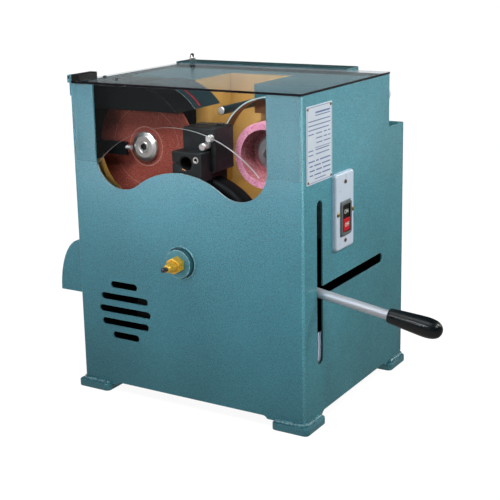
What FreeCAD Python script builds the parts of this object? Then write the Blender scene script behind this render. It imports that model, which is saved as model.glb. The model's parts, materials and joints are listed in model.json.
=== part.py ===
import FreeCAD, Part
import Sketcher
import math
import os

# Bench cut-off and face-grinding machine for round pins.
# Cabinet axes: X to the right, Y to the rear, Z up, millimetres.  All sizes
# below are given from the cabinet's front-left lower corner and are shifted
# by shift_x and shift_y, so that the origin ends up under the middle of the
# machine at floor level.

os.makedirs("parts", exist_ok=True)
doc = FreeCAD.newDocument("pin_grinder")
Vec, Rot, Place = FreeCAD.Vector, FreeCAD.Rotation, FreeCAD.Placement
sheet = doc.addObject("Spreadsheet::Sheet", "dims")
rows = []
where = {}
nodes = []


class Dim:
    """A sheet cell or a sum made from cells: its formula and its value."""

    def __init__(self, text, value):
        self.text, self.value = text, value

    def __add__(self, other):
        other = num(other)
        return Dim("(%s + %s)" % (self.text, other.text), self.value + other.value)

    def __radd__(self, other):
        return num(other) + self

    def __sub__(self, other):
        other = num(other)
        return Dim("(%s - %s)" % (self.text, other.text), self.value - other.value)

    def __rsub__(self, other):
        return num(other) - self

    def __mul__(self, other):
        other = num(other)
        return Dim("(%s * %s)" % (self.text, other.text), self.value * other.value)

    def __rmul__(self, other):
        return num(other) * self

    def __truediv__(self, other):
        other = num(other)
        return Dim("(%s / %s)" % (self.text, other.text), self.value / other.value)

    def __neg__(self):
        return num(0) - self


def num(v):
    if isinstance(v, Dim):
        return v
    v = float(v)
    return Dim("%.6g" % v if v >= 0 else "(0 - %.6g)" % -v, v)


def size(alias, value):
    rows.append(alias)
    n = len(rows)
    sheet.set("A%d" % n, alias)
    sheet.set("B%d" % n, "%s" % value)
    sheet.setAlias("B%d" % n, alias)
    return Dim("dims." + alias, float(value))


def base(o, x, y, z):
    for key, v in zip("xyz", (x, y, z)):
        o.setExpression("Placement.Base." + key, num(v).text)
    where[o.Name] = (num(x), num(y), num(z))
    return o


def box(x0, x1, y0, y1, z0, z1):
    o = doc.addObject("Part::Box", "Block")
    for prop, lo, hi in (("Length", x0, x1), ("Width", y0, y1), ("Height", z0, z1)):
        o.setExpression(prop, (num(hi) - num(lo)).text)
    return base(o, x0, y0, z0)


TURN = {"X": Rot(Vec(0, 1, 0), 90), "Y": Rot(Vec(1, 0, 0), -90), "Z": Rot()}


def cyl(axis, r, a0, a1, u, v):
    """A cylinder along one axis from a0 to a1; u and v are the other two
    coordinates, in X, Y, Z order."""
    o = doc.addObject("Part::Cylinder", "Round")
    o.setExpression("Radius", num(r).text)
    o.setExpression("Height", (num(a1) - num(a0)).text)
    o.Placement = Place(Vec(), TURN[axis])
    at = {"X": (a0, u, v), "Y": (u, a0, v), "Z": (u, v, a0)}[axis]
    return base(o, *at)


def hexagon(flats, y0, y1, x, z, twist=30):
    """A hexagonal bar along Y."""
    o = doc.addObject("Part::Prism", "Hexagon")
    o.Polygon = 6
    o.setExpression("Circumradius", (num(flats) / math.sqrt(3)).text)
    o.setExpression("Height", (num(y1) - num(y0)).text)
    o.Placement = Place(Vec(), Rot(Vec(0, 1, 0), twist).multiply(TURN["Y"]))
    return base(o, x, y0, z)


def fuse(*parts):
    o = doc.addObject("Part::MultiFuse", "Join")
    o.Shapes = list(parts)
    o.Refine = True
    return o


def cut(first, *tools):
    o = doc.addObject("Part::Cut", "Trim")
    o.Base = first
    o.Tool = tools[0] if len(tools) == 1 else fuse(*tools)
    return o


def common(a, b):
    o = doc.addObject("Part::Common", "Overlap")
    o.Base, o.Tool = a, b
    return o


def group(*parts):
    o = doc.addObject("Part::Compound", "Set")
    o.Links = list(parts)
    return o


def rounded(o, r, test):
    """Rounds the edges of o whose middle point passes the test."""
    doc.recompute()
    f = doc.addObject("Part::Fillet", "Rounded")
    f.Base = o
    f.Edges = [
        (i + 1, num(r).value, num(r).value)
        for i, e in enumerate(o.Shape.Edges)
        if test(e.CenterOfMass, e)
    ]
    return f


def upright(e):
    a, b = e.Vertexes[0].Point, e.Vertexes[-1].Point
    return abs(a.x - b.x) < 1e-6 and abs(a.y - b.y) < 1e-6


def across(e):
    a, b = e.Vertexes[0].Point, e.Vertexes[-1].Point
    return abs(a.y - b.y) < 1e-6 and abs(a.z - b.z) < 1e-6


def prism(wire, along):
    """A solid swept straight from a closed flat wire."""
    o = doc.addObject("Part::Feature", "Swept")
    o.Shape = Part.Face(wire).extrude(along)
    return o


def plane(body, role):
    return [f for f in body.Origin.OriginFeatures if f.Role == role][0]


def outline(body, role, corners, holes=()):
    """A closed polygon with every corner tied to the sheet, and round holes."""
    s = body.newObject("Sketcher::SketchObject", body.Name + "Sketch")
    s.AttachmentSupport = [(plane(body, role), "")]
    s.MapMode = "FlatFace"
    pts = [(num(a), num(b)) for a, b in corners]
    vs = [Vec(a.value, b.value, 0) for a, b in pts]
    n = len(vs)
    lines = [s.addGeometry(Part.LineSegment(vs[i], vs[(i + 1) % n]), False) for i in range(n)]
    for i in range(n):
        s.addConstraint(Sketcher.Constraint("Coincident", lines[i], 2, lines[(i + 1) % n], 1))

    def fix(g, pos, a, b, tag):
        for kind, e, axis in (("DistanceX", a, -2), ("DistanceY", b, -1)):
            if abs(e.value) < 1e-9:
                s.addConstraint(Sketcher.Constraint("PointOnObject", g, pos, axis))
            else:
                c = s.addConstraint(Sketcher.Constraint(kind, g, pos, e.value))
                s.renameConstraint(c, tag + kind[-1])
                s.setExpression("Constraints." + tag + kind[-1], e.text)

    for i, (a, b) in enumerate(pts):
        fix(lines[i], 1, a, b, "corner%d" % i)
    for k, (a, b, r) in enumerate(holes):
        a, b, r = num(a), num(b), num(r)
        g = s.addGeometry(Part.Circle(Vec(a.value, b.value, 0), Vec(0, 0, 1), r.value), False)
        fix(g, 3, a, b, "hole%d" % k)
        c = s.addConstraint(Sketcher.Constraint("Radius", g, r.value))
        s.renameConstraint(c, "bore%d" % k)
        s.setExpression("Constraints.bore%d" % k, r.text)
    return s


def turned(axis, at, profile):
    """A turned piece: profile corners are (radius, distance along the axis)."""
    body = doc.addObject("PartDesign::Body", "Turned")
    s = outline(body, "XZ_Plane", profile)
    rev = body.newObject("PartDesign::Revolution", "Spin")
    rev.Profile = s
    rev.ReferenceAxis = (s, ["V_Axis"])
    rev.Angle = 360
    body.Tip = rev
    body.Placement = Place(Vec(), axis if isinstance(axis, Rot) else TURN[axis])
    return base(body, *at)


FACING = {
    "front": Rot(Vec(1, 0, 0), 90),      # outline in X, Z; thickness towards -Y
    "side": Rot(Vec(1, 1, 1), 120),      # outline in Y, Z; thickness towards +X
    "flat": Rot(),                       # outline in X, Y; thickness towards +Z
}


def plate(facing, at, thick, corners, holes=()):
    body = doc.addObject("PartDesign::Body", "Plate")
    s = outline(body, "XY_Plane", corners, holes)
    pad = body.newObject("PartDesign::Pad", "Thick")
    pad.Profile = s
    pad.setExpression("Length", num(thick).text)
    body.Tip = pad
    body.Placement = Place(Vec(), FACING[facing])
    return base(body, *at)


def node(o, label):
    """Names a finished piece and moves it into the machine's own frame."""
    o.Label = label
    x, y, z = where.get(o.Name, (num(0), num(0), num(0)))
    base(o, x - shift_x, y - shift_y, z)
    nodes.append(o)
    return o


def stadium(u0, u1, v0, v1, at, depth):
    """A slot with round ends, long in X, for cutting the front sheet."""
    r = (v1 - v0) / 2.0
    c = (v0 + v1) / 2.0
    p = lambda u, v: Vec(u, at, v)
    along = Vec(0, depth, 0)
    wire = Part.Wire([
        Part.LineSegment(p(u0 + r, v0), p(u1 - r, v0)).toShape(),
        Part.Arc(p(u1 - r, v0), p(u1, c), p(u1 - r, v1)).toShape(),
        Part.LineSegment(p(u1 - r, v1), p(u0 + r, v1)).toShape(),
        Part.Arc(p(u0 + r, v1), p(u0, c), p(u0 + r, v0)).toShape(),
    ])
    return prism(wire, along)


# ---------------------------------------------------------------- sizes
shift_x = size("shift_x", 271.33)
shift_y = size("shift_y", 147.0)
cab_w = size("cab_width", 400)
cab_d = size("cab_depth", 284)
rear_d = size("rear_depth", 340)
cab_top = size("cab_top", 486)
foot_z = size("foot_height", 11)
foot_w = size("foot_width", 60)
foot_out = size("foot_overhang", 8)
skirt = size("skirt_height", 15.5)
skin = size("sheet_thick", 3)
bend = size("bend_radius", 5)
lip = size("front_return", 9)
thin = size("liner_thick", 2)

dip_l_x = size("window_left_x", 92.5)
dip_r_x = size("window_right_x", 296)
dip_z = size("window_dip_z", 378)
dip_l_r = size("window_left_radius", 48.5)
dip_r_r = size("window_right_radius", 47.5)
hump_r = size("window_hump_radius", 125)

vent_h = size("vent_height", 11)
vent_step = size("vent_step", 20.5)
vent_mid_x = size("vent_mid_x", 85.7)
vent_mid_z = size("vent_mid_z", 136)
vent_long = size("vent_long", 97.6)
vent_next = size("vent_next", 89)
vent_short = size("vent_short", 50.4)

piv_x = size("pivot_x", 195)
piv_z = size("pivot_z", 229)
piv_r = size("pivot_shaft_radius", 12.5)
boss_r = size("boss_radius", 22.2)
boss_foot = size("boss_foot_radius", 26.5)
boss_h = size("boss_height", 10)
hex_af = size("nipple_flats", 22)
hex_h = size("nipple_hex_height", 13)
stem_r = size("nipple_stem_radius", 7.5)
stem_h = size("nipple_stem_height", 16)
tip_r = size("nipple_tip_radius", 3.5)
tip_h = size("nipple_tip_height", 10)

disc_x = size("disc_x", 98)
disc_z = size("disc_z", 387)
disc_y = size("disc_y", 56.5)
disc_t = size("disc_thick", 3)
disc_r = size("disc_radius", 87.5)
disc_bore = size("disc_bore_radius", 8.05)
flange_r = size("flange_radius", 23.5)
flange_t = size("flange_thick", 7.4)
spin_r = size("spindle_radius", 10)
cup_x = size("cup_x", 287)
cup_z = size("cup_z", 381)
cup_y = size("cup_rim_y", 88)
cup_r = size("cup_radius", 50)
cup_in = size("cup_inner_radius", 39)
cup_l = size("cup_length", 50)
cup_deep = size("cup_recess", 34)

guard_r = size("disc_guard_radius", 95)
guard_t = size("disc_guard_thick", 3)
guard_z = size("disc_guard_lower_z", 445)
guard_y0 = size("disc_guard_front_y", 32)
guard_y1 = size("disc_guard_split_y", 81)
guard_y2 = size("disc_guard_rear_y", 152)

lid_gap = size("lid_gap", 0.3)
lid_t = size("lid_thick", 3.5)
lid_x0 = size("lid_left", 8.5)
lid_x1 = size("lid_right", 401)
flap_x0 = size("flap_left", 10.8)
flap_x1 = size("flap_right", 398.5)
flap_z = size("flap_bottom_z", 369.5)
flap_y = size("flap_front_y_out", 6)
arch_x = size("arch_x", 193.5)
arch_z = size("arch_z", 238)
arch_r = size("arch_radius", 192.5)
hin_x = size("hinge_out", 1.2)
hin_z = size("hinge_z", 494.3)
hin_r = size("hinge_radius", 2.2)
hin_pin = size("hinge_pin_radius", 1.2)

lev_a = size("lever_angle", 8.5)
lev_y = size("lever_y", 47.75)
lev_r = size("lever_radius", 7)
lev_0 = size("lever_start", 30)
lev_1 = size("lever_end", 355)
grip_0 = size("grip_start", 316)
slot_w = size("slot_width", 15.5)
slot_vw = size("slot_upright_width", 17)
slot_vy = size("slot_upright_y", 48.6)
slot_z0 = size("slot_low_z", 91)
slot_z1 = size("slot_high_z", 334)
slot_y1 = size("slot_rear_y", 260)
slot_zc = size("slot_cross_z", 199)
lev_c = Dim("cos(dims.lever_angle)", math.cos(math.radians(lev_a.value)))
lev_s = Dim("sin(dims.lever_angle)", math.sin(math.radians(lev_a.value)))

blk_x0 = size("block_left", 183)
blk_x1 = size("block_right", 239)
blk_z0 = size("block_low_z", 363)
blk_z1 = size("block_high_z", 427)
blk_y0 = size("block_front_y", 32)
blk_y1 = size("block_rear_y", 82)
jaw_x0 = size("jaw_left", 180)
jaw_x1 = size("jaw_right", 232)
jaw_z0 = size("jaw_low_z", 352)
jaw_z1 = size("jaw_high_z", 394.5)
jaw_y0 = size("jaw_front_y", 5.5)
work_x = size("work_x", 204)
work_z = size("work_z", 377)
work_r = size("work_bore_radius", 10)
bush_r = size("work_bush_radius", 11.6)
sect_r = size("sector_radius", 128)

mot_x = size("motor_x", 110)
mot_z = size("motor_z", 105)
mot_r = size("motor_radius", 65)

sw_y0 = size("switch_front_y", 88)
sw_y1 = size("switch_rear_y", 146.5)
sw_z0 = size("switch_low_z", 249)
sw_z1 = size("switch_high_z", 363)
sw_t = size("switch_plate_thick", 6)
mod_y0 = size("module_front_y", 100.8)
mod_y1 = size("module_rear_y", 135.2)
mod_z0 = size("module_low_z", 269)
mod_z1 = size("module_high_z", 320.4)
but_y0 = size("button_front_y", 107.1)
but_y1 = size("button_rear_y", 128.9)
but_t = size("button_height", 19.6)
but_z = size("button_split_z", 294.8)
gap = size("moving_gap", 0.4)

tag_y0 = size("tag_front_y", 9.5)
tag_y1 = size("tag_rear_y", 86)
tag_z0 = size("tag_low_z", 361)
tag_z1 = size("tag_high_z", 470)
tag_t = size("tag_thick", 0.8)

hood_w = size("hood_width", 43)
hood_z0 = size("hood_low_z", 153.5)
hood_h = size("hood_height", 85.5)
hood_y0 = size("hood_front_y", 5)
hood_y1 = size("hood_rear_y", 125)

deck_z = size("deck_z", 479)
deck_t = size("deck_thick", 2.5)
cham_x0 = size("chamber_left_x", 125)
cham_x1 = size("chamber_right_x", 252)
cham_y1 = size("chamber_rear_y", 258)
cham_z = size("chamber_low_z", 250)
apron_y = size("apron_y", 126)
apron_z = size("apron_low_z", 438)
back_l_y = size("liner_left_y", 152)
back_r_y = size("liner_right_y", 145)

up_x1 = size("upper_cover_width", 327)
up_y1 = size("upper_cover_rear_y", 326)
step_z = size("rear_step_z", 403.7)
up_z1 = size("upper_cover_top", 491)

doc.recompute()
wall_r = cab_w - skin          # inner face of the right side
front_lid_y = num(0) - flap_y  # front face of the lid

# ------------------------------------------------------------ cabinet
# Front sheet with bent edges, a wavy window and five vents.
front = rounded(
    box(0, cab_w, 0, lip, foot_z, cab_top), bend,
    lambda c, e: upright(e) and abs(c.y) < 1e-6,
)
c1 = (dip_l_x.value, dip_z.value)
c3 = (dip_r_x.value, dip_z.value)
r1, r2, r3 = dip_l_r.value, hump_r.value, dip_r_r.value
span = c3[0] - c1[0]
along = (span ** 2 + (r1 + r2) ** 2 - (r3 + r2) ** 2) / (2 * span)
c2 = (c1[0] + along, c1[1] - math.sqrt((r1 + r2) ** 2 - along ** 2))
t12 = (c1[0] + (c2[0] - c1[0]) * r1 / (r1 + r2), c1[1] + (c2[1] - c1[1]) * r1 / (r1 + r2))
t23 = (c3[0] + (c2[0] - c3[0]) * r3 / (r3 + r2), c3[1] + (c2[1] - c3[1]) * r3 / (r3 + r2))


def fp(p, y=-5.0):
    return Vec(p[0], y, p[1])


def on(c, r, a):
    return (c[0] + r * math.cos(a), c[1] + r * math.sin(a))


a12 = math.atan2(t12[1] - c1[1], t12[0] - c1[0]) % (2 * math.pi)
a23 = math.atan2(t23[1] - c3[1], t23[0] - c3[0]) % (2 * math.pi)
over = cab_top.value + 10
window_wire = Part.Wire([
    Part.LineSegment(fp((c1[0] - r1, over)), fp((c1[0] - r1, c1[1]))).toShape(),
    Part.Arc(fp((c1[0] - r1, c1[1])), fp(on(c1, r1, (math.pi + a12) / 2)), fp(t12)).toShape(),
    Part.Arc(fp(t12), fp((c2[0], c2[1] + r2)), fp(t23)).toShape(),
    Part.Arc(fp(t23), fp(on(c3, r3, (a23 + 2 * math.pi) / 2)), fp((c3[0] + r3, c3[1]))).toShape(),
    Part.LineSegment(fp((c3[0] + r3, c3[1])), fp((c3[0] + r3, over))).toShape(),
    Part.LineSegment(fp((c3[0] + r3, over)), fp((c1[0] - r1, over))).toShape(),
])
vents = []
for k, long in enumerate((vent_short, vent_next, vent_long, vent_next, vent_short)):
    z = vent_mid_z.value + (k - 2) * vent_step.value
    vents.append(stadium(
        vent_mid_x.value - long.value / 2, vent_mid_x.value + long.value / 2,
        z - vent_h.value / 2, z + vent_h.value / 2, -1.0, 6.0,
    ))
node(cut(
    front,
    box(skin, wall_r, skin, lip + 1, foot_z - 1, cab_top + 1),
    prism(window_wire, Vec(0, 20, 0)),
    cyl("Y", piv_r + 0.2, -1, 5, piv_x, piv_z),
    rounded(box(62, cab_w - 62, -1, lip + 1, 0, skirt), 8,
            lambda c, e: c.z > 15 and not across(e) and not upright(e)),
    *vents,
), "front_panel")

# Side sheets: stepped down at the rear.
side_pts = [
    (lip, foot_z), (rear_d - skin, foot_z), (rear_d - skin, step_z),
    (cab_d, step_z), (cab_d, cab_top), (lip, cab_top),
]
relief = lambda x0, x1: rounded(
    box(x0, x1, 54, rear_d - 62, 0, skirt), 8,
    lambda c, e: c.z > 15 and across(e),
)
node(cut(
    plate("side", (0, 0, 0), skin, side_pts),
    box(-1, 5, hood_y0 + 4, hood_y1 - 4, hood_z0 + 3, hood_z0 + hood_h - 8),
    relief(-1, 5),
), "left_side")
slot_r = slot_w / 2
slot_vr = slot_vw / 2
node(cut(
    plate("side", (wall_r, 0, 0), skin, side_pts),
    box(wall_r - 1, cab_w + 1, slot_vy - slot_vr, slot_vy + slot_vr, slot_z0 + slot_vr, slot_z1 - slot_vr),
    cyl("X", slot_vr, wall_r - 1, cab_w + 1, slot_vy, slot_z0 + slot_vr),
    cyl("X", slot_vr, wall_r - 1, cab_w + 1, slot_vy, slot_z1 - slot_vr),
    box(wall_r - 1, cab_w + 1, lev_y, slot_y1 - slot_r, slot_zc - slot_r, slot_zc + slot_r),
    cyl("X", slot_r, wall_r - 1, cab_w + 1, slot_y1 - slot_r, slot_zc),
    box(wall_r - 1, cab_w + 1, mod_y0 - 0.5, mod_y1 + 0.5, mod_z0 - 0.5, mod_z1 + 0.5),
    relief(wall_r.value - 1, cab_w.value + 1),
), "right_side")

node(plate(
    "front", (0, cab_d, 0), skin,
    [(skin, skirt + skin), (wall_r, skirt + skin), (wall_r, cab_top), (skin, cab_top)],
    [(disc_x, disc_z, 14), (cup_x, cup_z, 14), (mot_x, mot_z, 22), (381, 453, 6)],
), "rear_wall")
node(box(skin, wall_r, skin, rear_d - skin, skirt, skirt + skin), "base_plate")


def foot(x, y):
    return rounded(
        box(x, x + foot_w, y, y + foot_w, 0, foot_z), 7,
        lambda c, e: upright(e),
    )


foot_r = cab_w + foot_out - foot_w
foot_b = rear_d - foot_w + 1
node(group(
    foot(-foot_out, -foot_out), foot(foot_r, -foot_out),
    foot(-foot_out, foot_b), foot(foot_r, foot_b),
), "feet")


# Discharge hood on the left side: a quarter-ellipse shell, open below.
def quarter(w, h, y, depth):
    c = Vec(0, y, hood_z0.value)
    left, high = c + Vec(-w, 0, 0), c + Vec(0, 0, h)
    arc = Part.Ellipse(high, left, c).toShape(0, math.pi / 2)
    wire = Part.Wire([
        arc, Part.LineSegment(left, c).toShape(), Part.LineSegment(c, high).toShape(),
    ])
    return prism(wire, Vec(0, depth, 0))


hood_len = hood_y1.value - hood_y0.value
node(cut(
    quarter(hood_w.value, hood_h.value, hood_y0.value, hood_len),
    quarter(hood_w.value - 2.5, hood_h.value - 2.5, hood_y0.value + 2.5, hood_len - 5),
), "discharge_hood")

# ------------------------------------------------- inside sheet metal
deck_top = deck_z + deck_t
node(fuse(
    plate("flat", (0, 0, deck_z), deck_t, [
        (skin, back_l_y + thin), (cham_x0 + thin, back_l_y + thin), (cham_x0 + thin, cham_y1),
        (cham_x1 - thin, cham_y1), (cham_x1 - thin, apron_y), (wall_r, apron_y),
        (wall_r, cab_d - skin), (skin, cab_d - skin),
    ]),
    box(cham_x1 - thin, wall_r, apron_y, apron_y + 2.5, apron_z, deck_z),
    box(cham_x1 - thin, wall_r, apron_y, back_r_y + thin, apron_z, apron_z + 2.5),
), "top_deck")

tray = plate(
    "side", (cham_x0 + thin, 0, 0), cham_x1 - cham_x0 - 2 * thin,
    [(90, cham_z), (90, cham_z + thin), (cham_y1 - thin, 302), (cham_y1 - thin, 300)],
)
node(fuse(
    plate(
        "front", (0, back_l_y + thin, 0), thin,
        [(skin + 1, cham_z), (cham_x0 + thin, cham_z), (cham_x0 + thin, deck_z), (skin + 1, deck_z)],
        [(disc_x, disc_z, 25.4)],
    ),
    box(skin + 0.2, skin + thin + 0.2, lip + 1, back_l_y + 1, 300, deck_z),
    box(cham_x0, cham_x0 + thin, back_l_y + thin, cham_y1, cham_z, deck_z),
    box(cham_x0 + thin, cham_x1 - thin, cham_y1 - thin, cham_y1, cham_z, deck_z),
    box(cham_x1 - thin, cham_x1, back_r_y, cham_y1, cham_z, apron_z),
    box(cham_x1 - thin, cham_x1, back_r_y + thin, cham_y1, apron_z - 1, deck_z),
    plate(
        "front", (0, back_r_y + thin, 0), thin,
        [(cham_x1, cham_z), (wall_r - 1, cham_z), (wall_r - 1, apron_z), (cham_x1, apron_z)],
        [(cup_x, cup_z, 13)],
    ),
    tray,
), "chamber_liner")

# Curved shroud over the cup wheel.
shroud = cut(
    cyl("Y", 87, 104, apron_y, 289, 380),
    cyl("Y", 84.5, 103, apron_y + 1, 289, 380),
    box(190, 400, 103, 127, 280, 395),
)
node(shroud, "cup_shroud")


def hood(y0, y1, face):
    """Part of a round hood above the chord at guard_z, closed in front."""
    outer = common(
        cyl("Y", guard_r, y0, y1, disc_x, disc_z),
        box(0, 300, y0, y1, guard_z, cab_top),
    )
    return cut(outer, cyl("Y", guard_r - guard_t, y0 + face, y1 + 1, disc_x, disc_z))


node(hood(guard_y0, guard_y1, guard_t), "disc_guard_front")
node(cut(
    common(
        cyl("Y", guard_r, guard_y1, guard_y2, disc_x, disc_z),
        box(0, 300, guard_y1, guard_y2, guard_z, cab_top),
    ),
    cyl("Y", guard_r - guard_t, guard_y1 - 1, guard_y2 + 1, disc_x, disc_z),
), "disc_guard_rear")

# ------------------------------------------------------- rear covers
node(cut(
    box(0, up_x1, cab_d, up_y1, step_z, up_z1),
    box(thin, up_x1 - thin, cab_d - 1, up_y1 - thin, step_z - 1, up_z1 - thin),
), "rear_cover_upper")
node(fuse(
    box(0, cab_w, rear_d - skin, rear_d, skirt, step_z),
    box(skin, wall_r, up_y1, rear_d - skin, step_z - skin, step_z),
    box(up_x1, wall_r, cab_d, rear_d - skin, step_z - skin, step_z),
), "rear_cover_lower")
screws = []
for x in (9, 391):
    for z in (60, 243, 385):
        screws.append(turned("Y", (x, rear_d, z), [
            (0, 0), (4.5, 0), (4.5, 1), (3.2, 2.4), (1.2, 3), (0, 3),
        ]))
node(group(*screws), "rear_cover_screws")

# --------------------------------------------------------------- lid
lid_z0 = cab_top + lid_gap
lid_z1 = lid_z0 + lid_t
node(box(lid_x0, lid_x1, front_lid_y, cab_d - 1, lid_z0, lid_z1), "lid_top")
node(cut(
    box(flap_x0, flap_x1, front_lid_y, front_lid_y + lid_t, flap_z, lid_z0),
    cyl("Y", arch_r, -20, 5, arch_x, arch_z),
), "lid_flap")
hin_ax = num(0) - hin_x
node(cut(
    fuse(
        rounded(box(9.5, 23, front_lid_y, 40, lid_z1, 500), 1.2,
                lambda c, e: c.z > 499.9 or (upright(e) and c.x > 20)),
        box(-4, 10, 10.8, 36, lid_z1, 496.5),
    ),
    cyl("Y", hin_pin + 0.05, 10, 37, hin_ax, hin_z),
), "hinge_blocks")
hinge_screw = lambda x, y: turned("Z", (x, y, lid_z1), [
    (0, 0), (3.4, 0), (3.4, 0.8), (2.2, 1.8), (0, 2.2),
])
node(group(hinge_screw(23.4, 57.2), hinge_screw(62, 36.9)), "hinge_screws")
# Two ears on the cabinet: one in front of the block, one hidden behind it.
node(group(
    cut(
        fuse(
            rounded(box(-4, 4.8, 0.5, 10.4, cab_top, 498), 1.5,
                    lambda c, e: c.z > 497.9 and not across(e)),
            box(-4, 0, 5, 10.4, 466, cab_top + 1),
        ),
        cyl("Y", hin_pin + 0.02, 1.5, 11, hin_ax, hin_z),
    ),
    cut(
        fuse(
            cyl("Y", hin_r, 36.4, 46, hin_ax, hin_z),
            box(-4, 0, 36.4, 46, 466, hin_z),
        ),
        cyl("Y", hin_pin + 0.02, 35, 47, hin_ax, hin_z),
    ),
), "hinge_knuckles")
node(cyl("Y", hin_pin, 2, 45.5, hin_ax, hin_z), "hinge_pin")
node(turned("Z", (23.5, 300, up_z1), [
    (0, 0), (5.4, 0), (5.4, 5.6), (4.9, 6.4), (4.3, 8.6), (3.5, 11), (2.2, 12.8), (0, 13.5),
]), "lid_stop_stud")

# ------------------------------------------------------------- pivot
node(turned("Y", (piv_x, num(0) - boss_h, piv_z), [
    (0, 0), (boss_r - 1.2, 0), (boss_r - 0.3, 0.4), (boss_r, 1.2), (boss_r, 6.2),
    (boss_r - 0.9, 6.8), (boss_r - 0.9, 7.3), (boss_foot - 2, 7.3), (boss_foot - 0.7, 7.9),
    (boss_foot, 9), (boss_foot, boss_h),
    (piv_r + 0.1, boss_h), (piv_r + 0.1, 1.8), (0, 1.8),
]), "pivot_boss")
ny1 = num(0) - boss_h
ny2 = ny1 - hex_h
ny3 = ny2 - stem_h
ny4 = ny3 - tip_h
node(fuse(
    hexagon(hex_af, ny2, ny1, piv_x, piv_z),
    cyl("Y", stem_r, ny3, ny2, piv_x, piv_z),
    cyl("Y", tip_r, ny4, ny3, piv_x, piv_z),
), "grease_nipple")
node(cyl("Y", piv_r, num(0) - boss_h + 2, cab_d - skin, piv_x, piv_z), "pivot_shaft")

# ------------------------------------------- swinging clamp and lever
bush = lambda y0: turned("Y", (piv_x, y0, piv_z), [
    (piv_r + 0.06, 0), (piv_r + 3, 0), (piv_r + 3, 20), (piv_r + 0.06, 20),
])
node(group(bush(22), bush(58)), "pivot_bushes")

lever_turn = Rot(Vec(0, 1, 0), 90 + lev_a.value)


def lever_at(d):
    return (piv_x + num(d) * lev_c, lev_y, piv_z - num(d) * lev_s)


def lever_bar(r, d0, d1):
    o = doc.addObject("Part::Cylinder", "Lever")
    o.setExpression("Radius", num(r).text)
    o.setExpression("Height", (num(d1) - num(d0)).text)
    o.Placement = Place(Vec(), lever_turn)
    return base(o, *lever_at(d0))


node(cut(
    fuse(
        cyl("Y", 23, 22, 78, piv_x, piv_z),
        box(180, 228, 34, 80, piv_z, blk_z0),
        lever_bar(12, 5, 64),
    ),
    cyl("Y", piv_r + 3.02, 20, 80, piv_x, piv_z),
    lever_bar(lev_r + 0.02, lev_0, 80),
    # The disc runs into this gap when the arm swings to the left.
    box(170, 219, 52.5, 63.5, 320, blk_z0 + 1),
), "swing_arm")
node(lever_bar(lev_r, lev_0, lev_1), "lever_rod")
node(turned(lever_turn, lever_at(grip_0), [
    (7.03, 0), (9.7, 0), (10.5, 0.9), (11.3, 9), (12.6, 27), (13.9, 47), (14.3, 56),
    (13.8, 64), (12.2, 70.6), (9.2, 75.4), (5.0, 78.2), (0, 79), (0, 40), (7.03, 40),
]), "lever_grip")

# Drum-shaped splash cover between the upright and the lever.
sector = cut(
    fuse(
        cut(cyl("Y", sect_r, 34, 60, piv_x, piv_z), cyl("Y", sect_r - 4, 30, 64, piv_x, piv_z)),
        cut(cyl("Y", sect_r - 1, 34, 37, piv_x, piv_z), cyl("Y", 60, 30, 64, piv_x, piv_z)),
    ),
    box(0, 228, 30, 64, 90, 400),
    box(0, 400, 30, 64, 90, 260),
)
node(sector, "splash_sector")

node(cut(
    rounded(box(blk_x0, blk_x1, blk_y0, blk_y1, blk_z0, blk_z1), 3,
            lambda c, e: c.z > blk_z1.value - 0.5),
    box(blk_x0 - 1, 228, 52.5, 63.5, blk_z0 - 1, blk_z1 + 1),
    cyl("Y", bush_r + 0.02, blk_y0 - 1, blk_y1 + 1, work_x, work_z),
), "clamp_block")
node(cut(
    rounded(box(jaw_x0, jaw_x1, jaw_y0, blk_y0, jaw_z0, jaw_z1), 2,
            lambda c, e: c.z > 394 or (upright(e) and c.y < 6)),
    cyl("Y", bush_r + 0.02, 0, 40, work_x, work_z),
    box(jaw_x0 - 1, work_x, 0, blk_y0 - 4, work_z - 1, work_z + 1),
    cyl("Y", 5.2, 0, 20, 221.3, 383.5),
), "clamp_jaw")
node(group(
    turned("Y", (work_x, jaw_y0 + 1.5, work_z), [
        (work_r, 0), (bush_r, 0), (bush_r, 44), (work_r, 44),
    ]),
    turned("Y", (work_x, 64, work_z), [
        (work_r, 0), (bush_r, 0), (bush_r, 18), (work_r, 18),
    ]),
), "work_bushes")
node(cut(
    cyl("Y", 5, jaw_y0 + 1, 20, 221.3, 383.5),
    hexagon(5, jaw_y0, jaw_y0 + 7, 221.3, 383.5),
), "clamp_screw")
clamp_pin = lambda x, z, y0: turned("Y", (x, y0, z), [
    (0, 0), (4.6, 0), (5.6, 1), (5.6, blk_y0 - y0), (0, blk_y0 - y0),
])
node(group(clamp_pin(226.5, 401.5, 16), clamp_pin(232.5, 412.5, 24)), "clamp_pins")

# ------------------------------------------- fittings inside the window
node(turned("Y", (207, 100, 442), [
    (0, 0), (5.2, 0), (6.3, 1.1), (6.3, cham_y1 - thin - 100), (0, cham_y1 - thin - 100),
]), "stop_rod")
node(fuse(
    box(skin + thin + 0.2, 72, 40, 45, 374, 394),
    cyl("X", 3.6, 71, 80, 42.5, 386),
    cyl("Y", 2.4, 42.5, 47.5, 77, 386),
), "coolant_bar")

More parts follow.
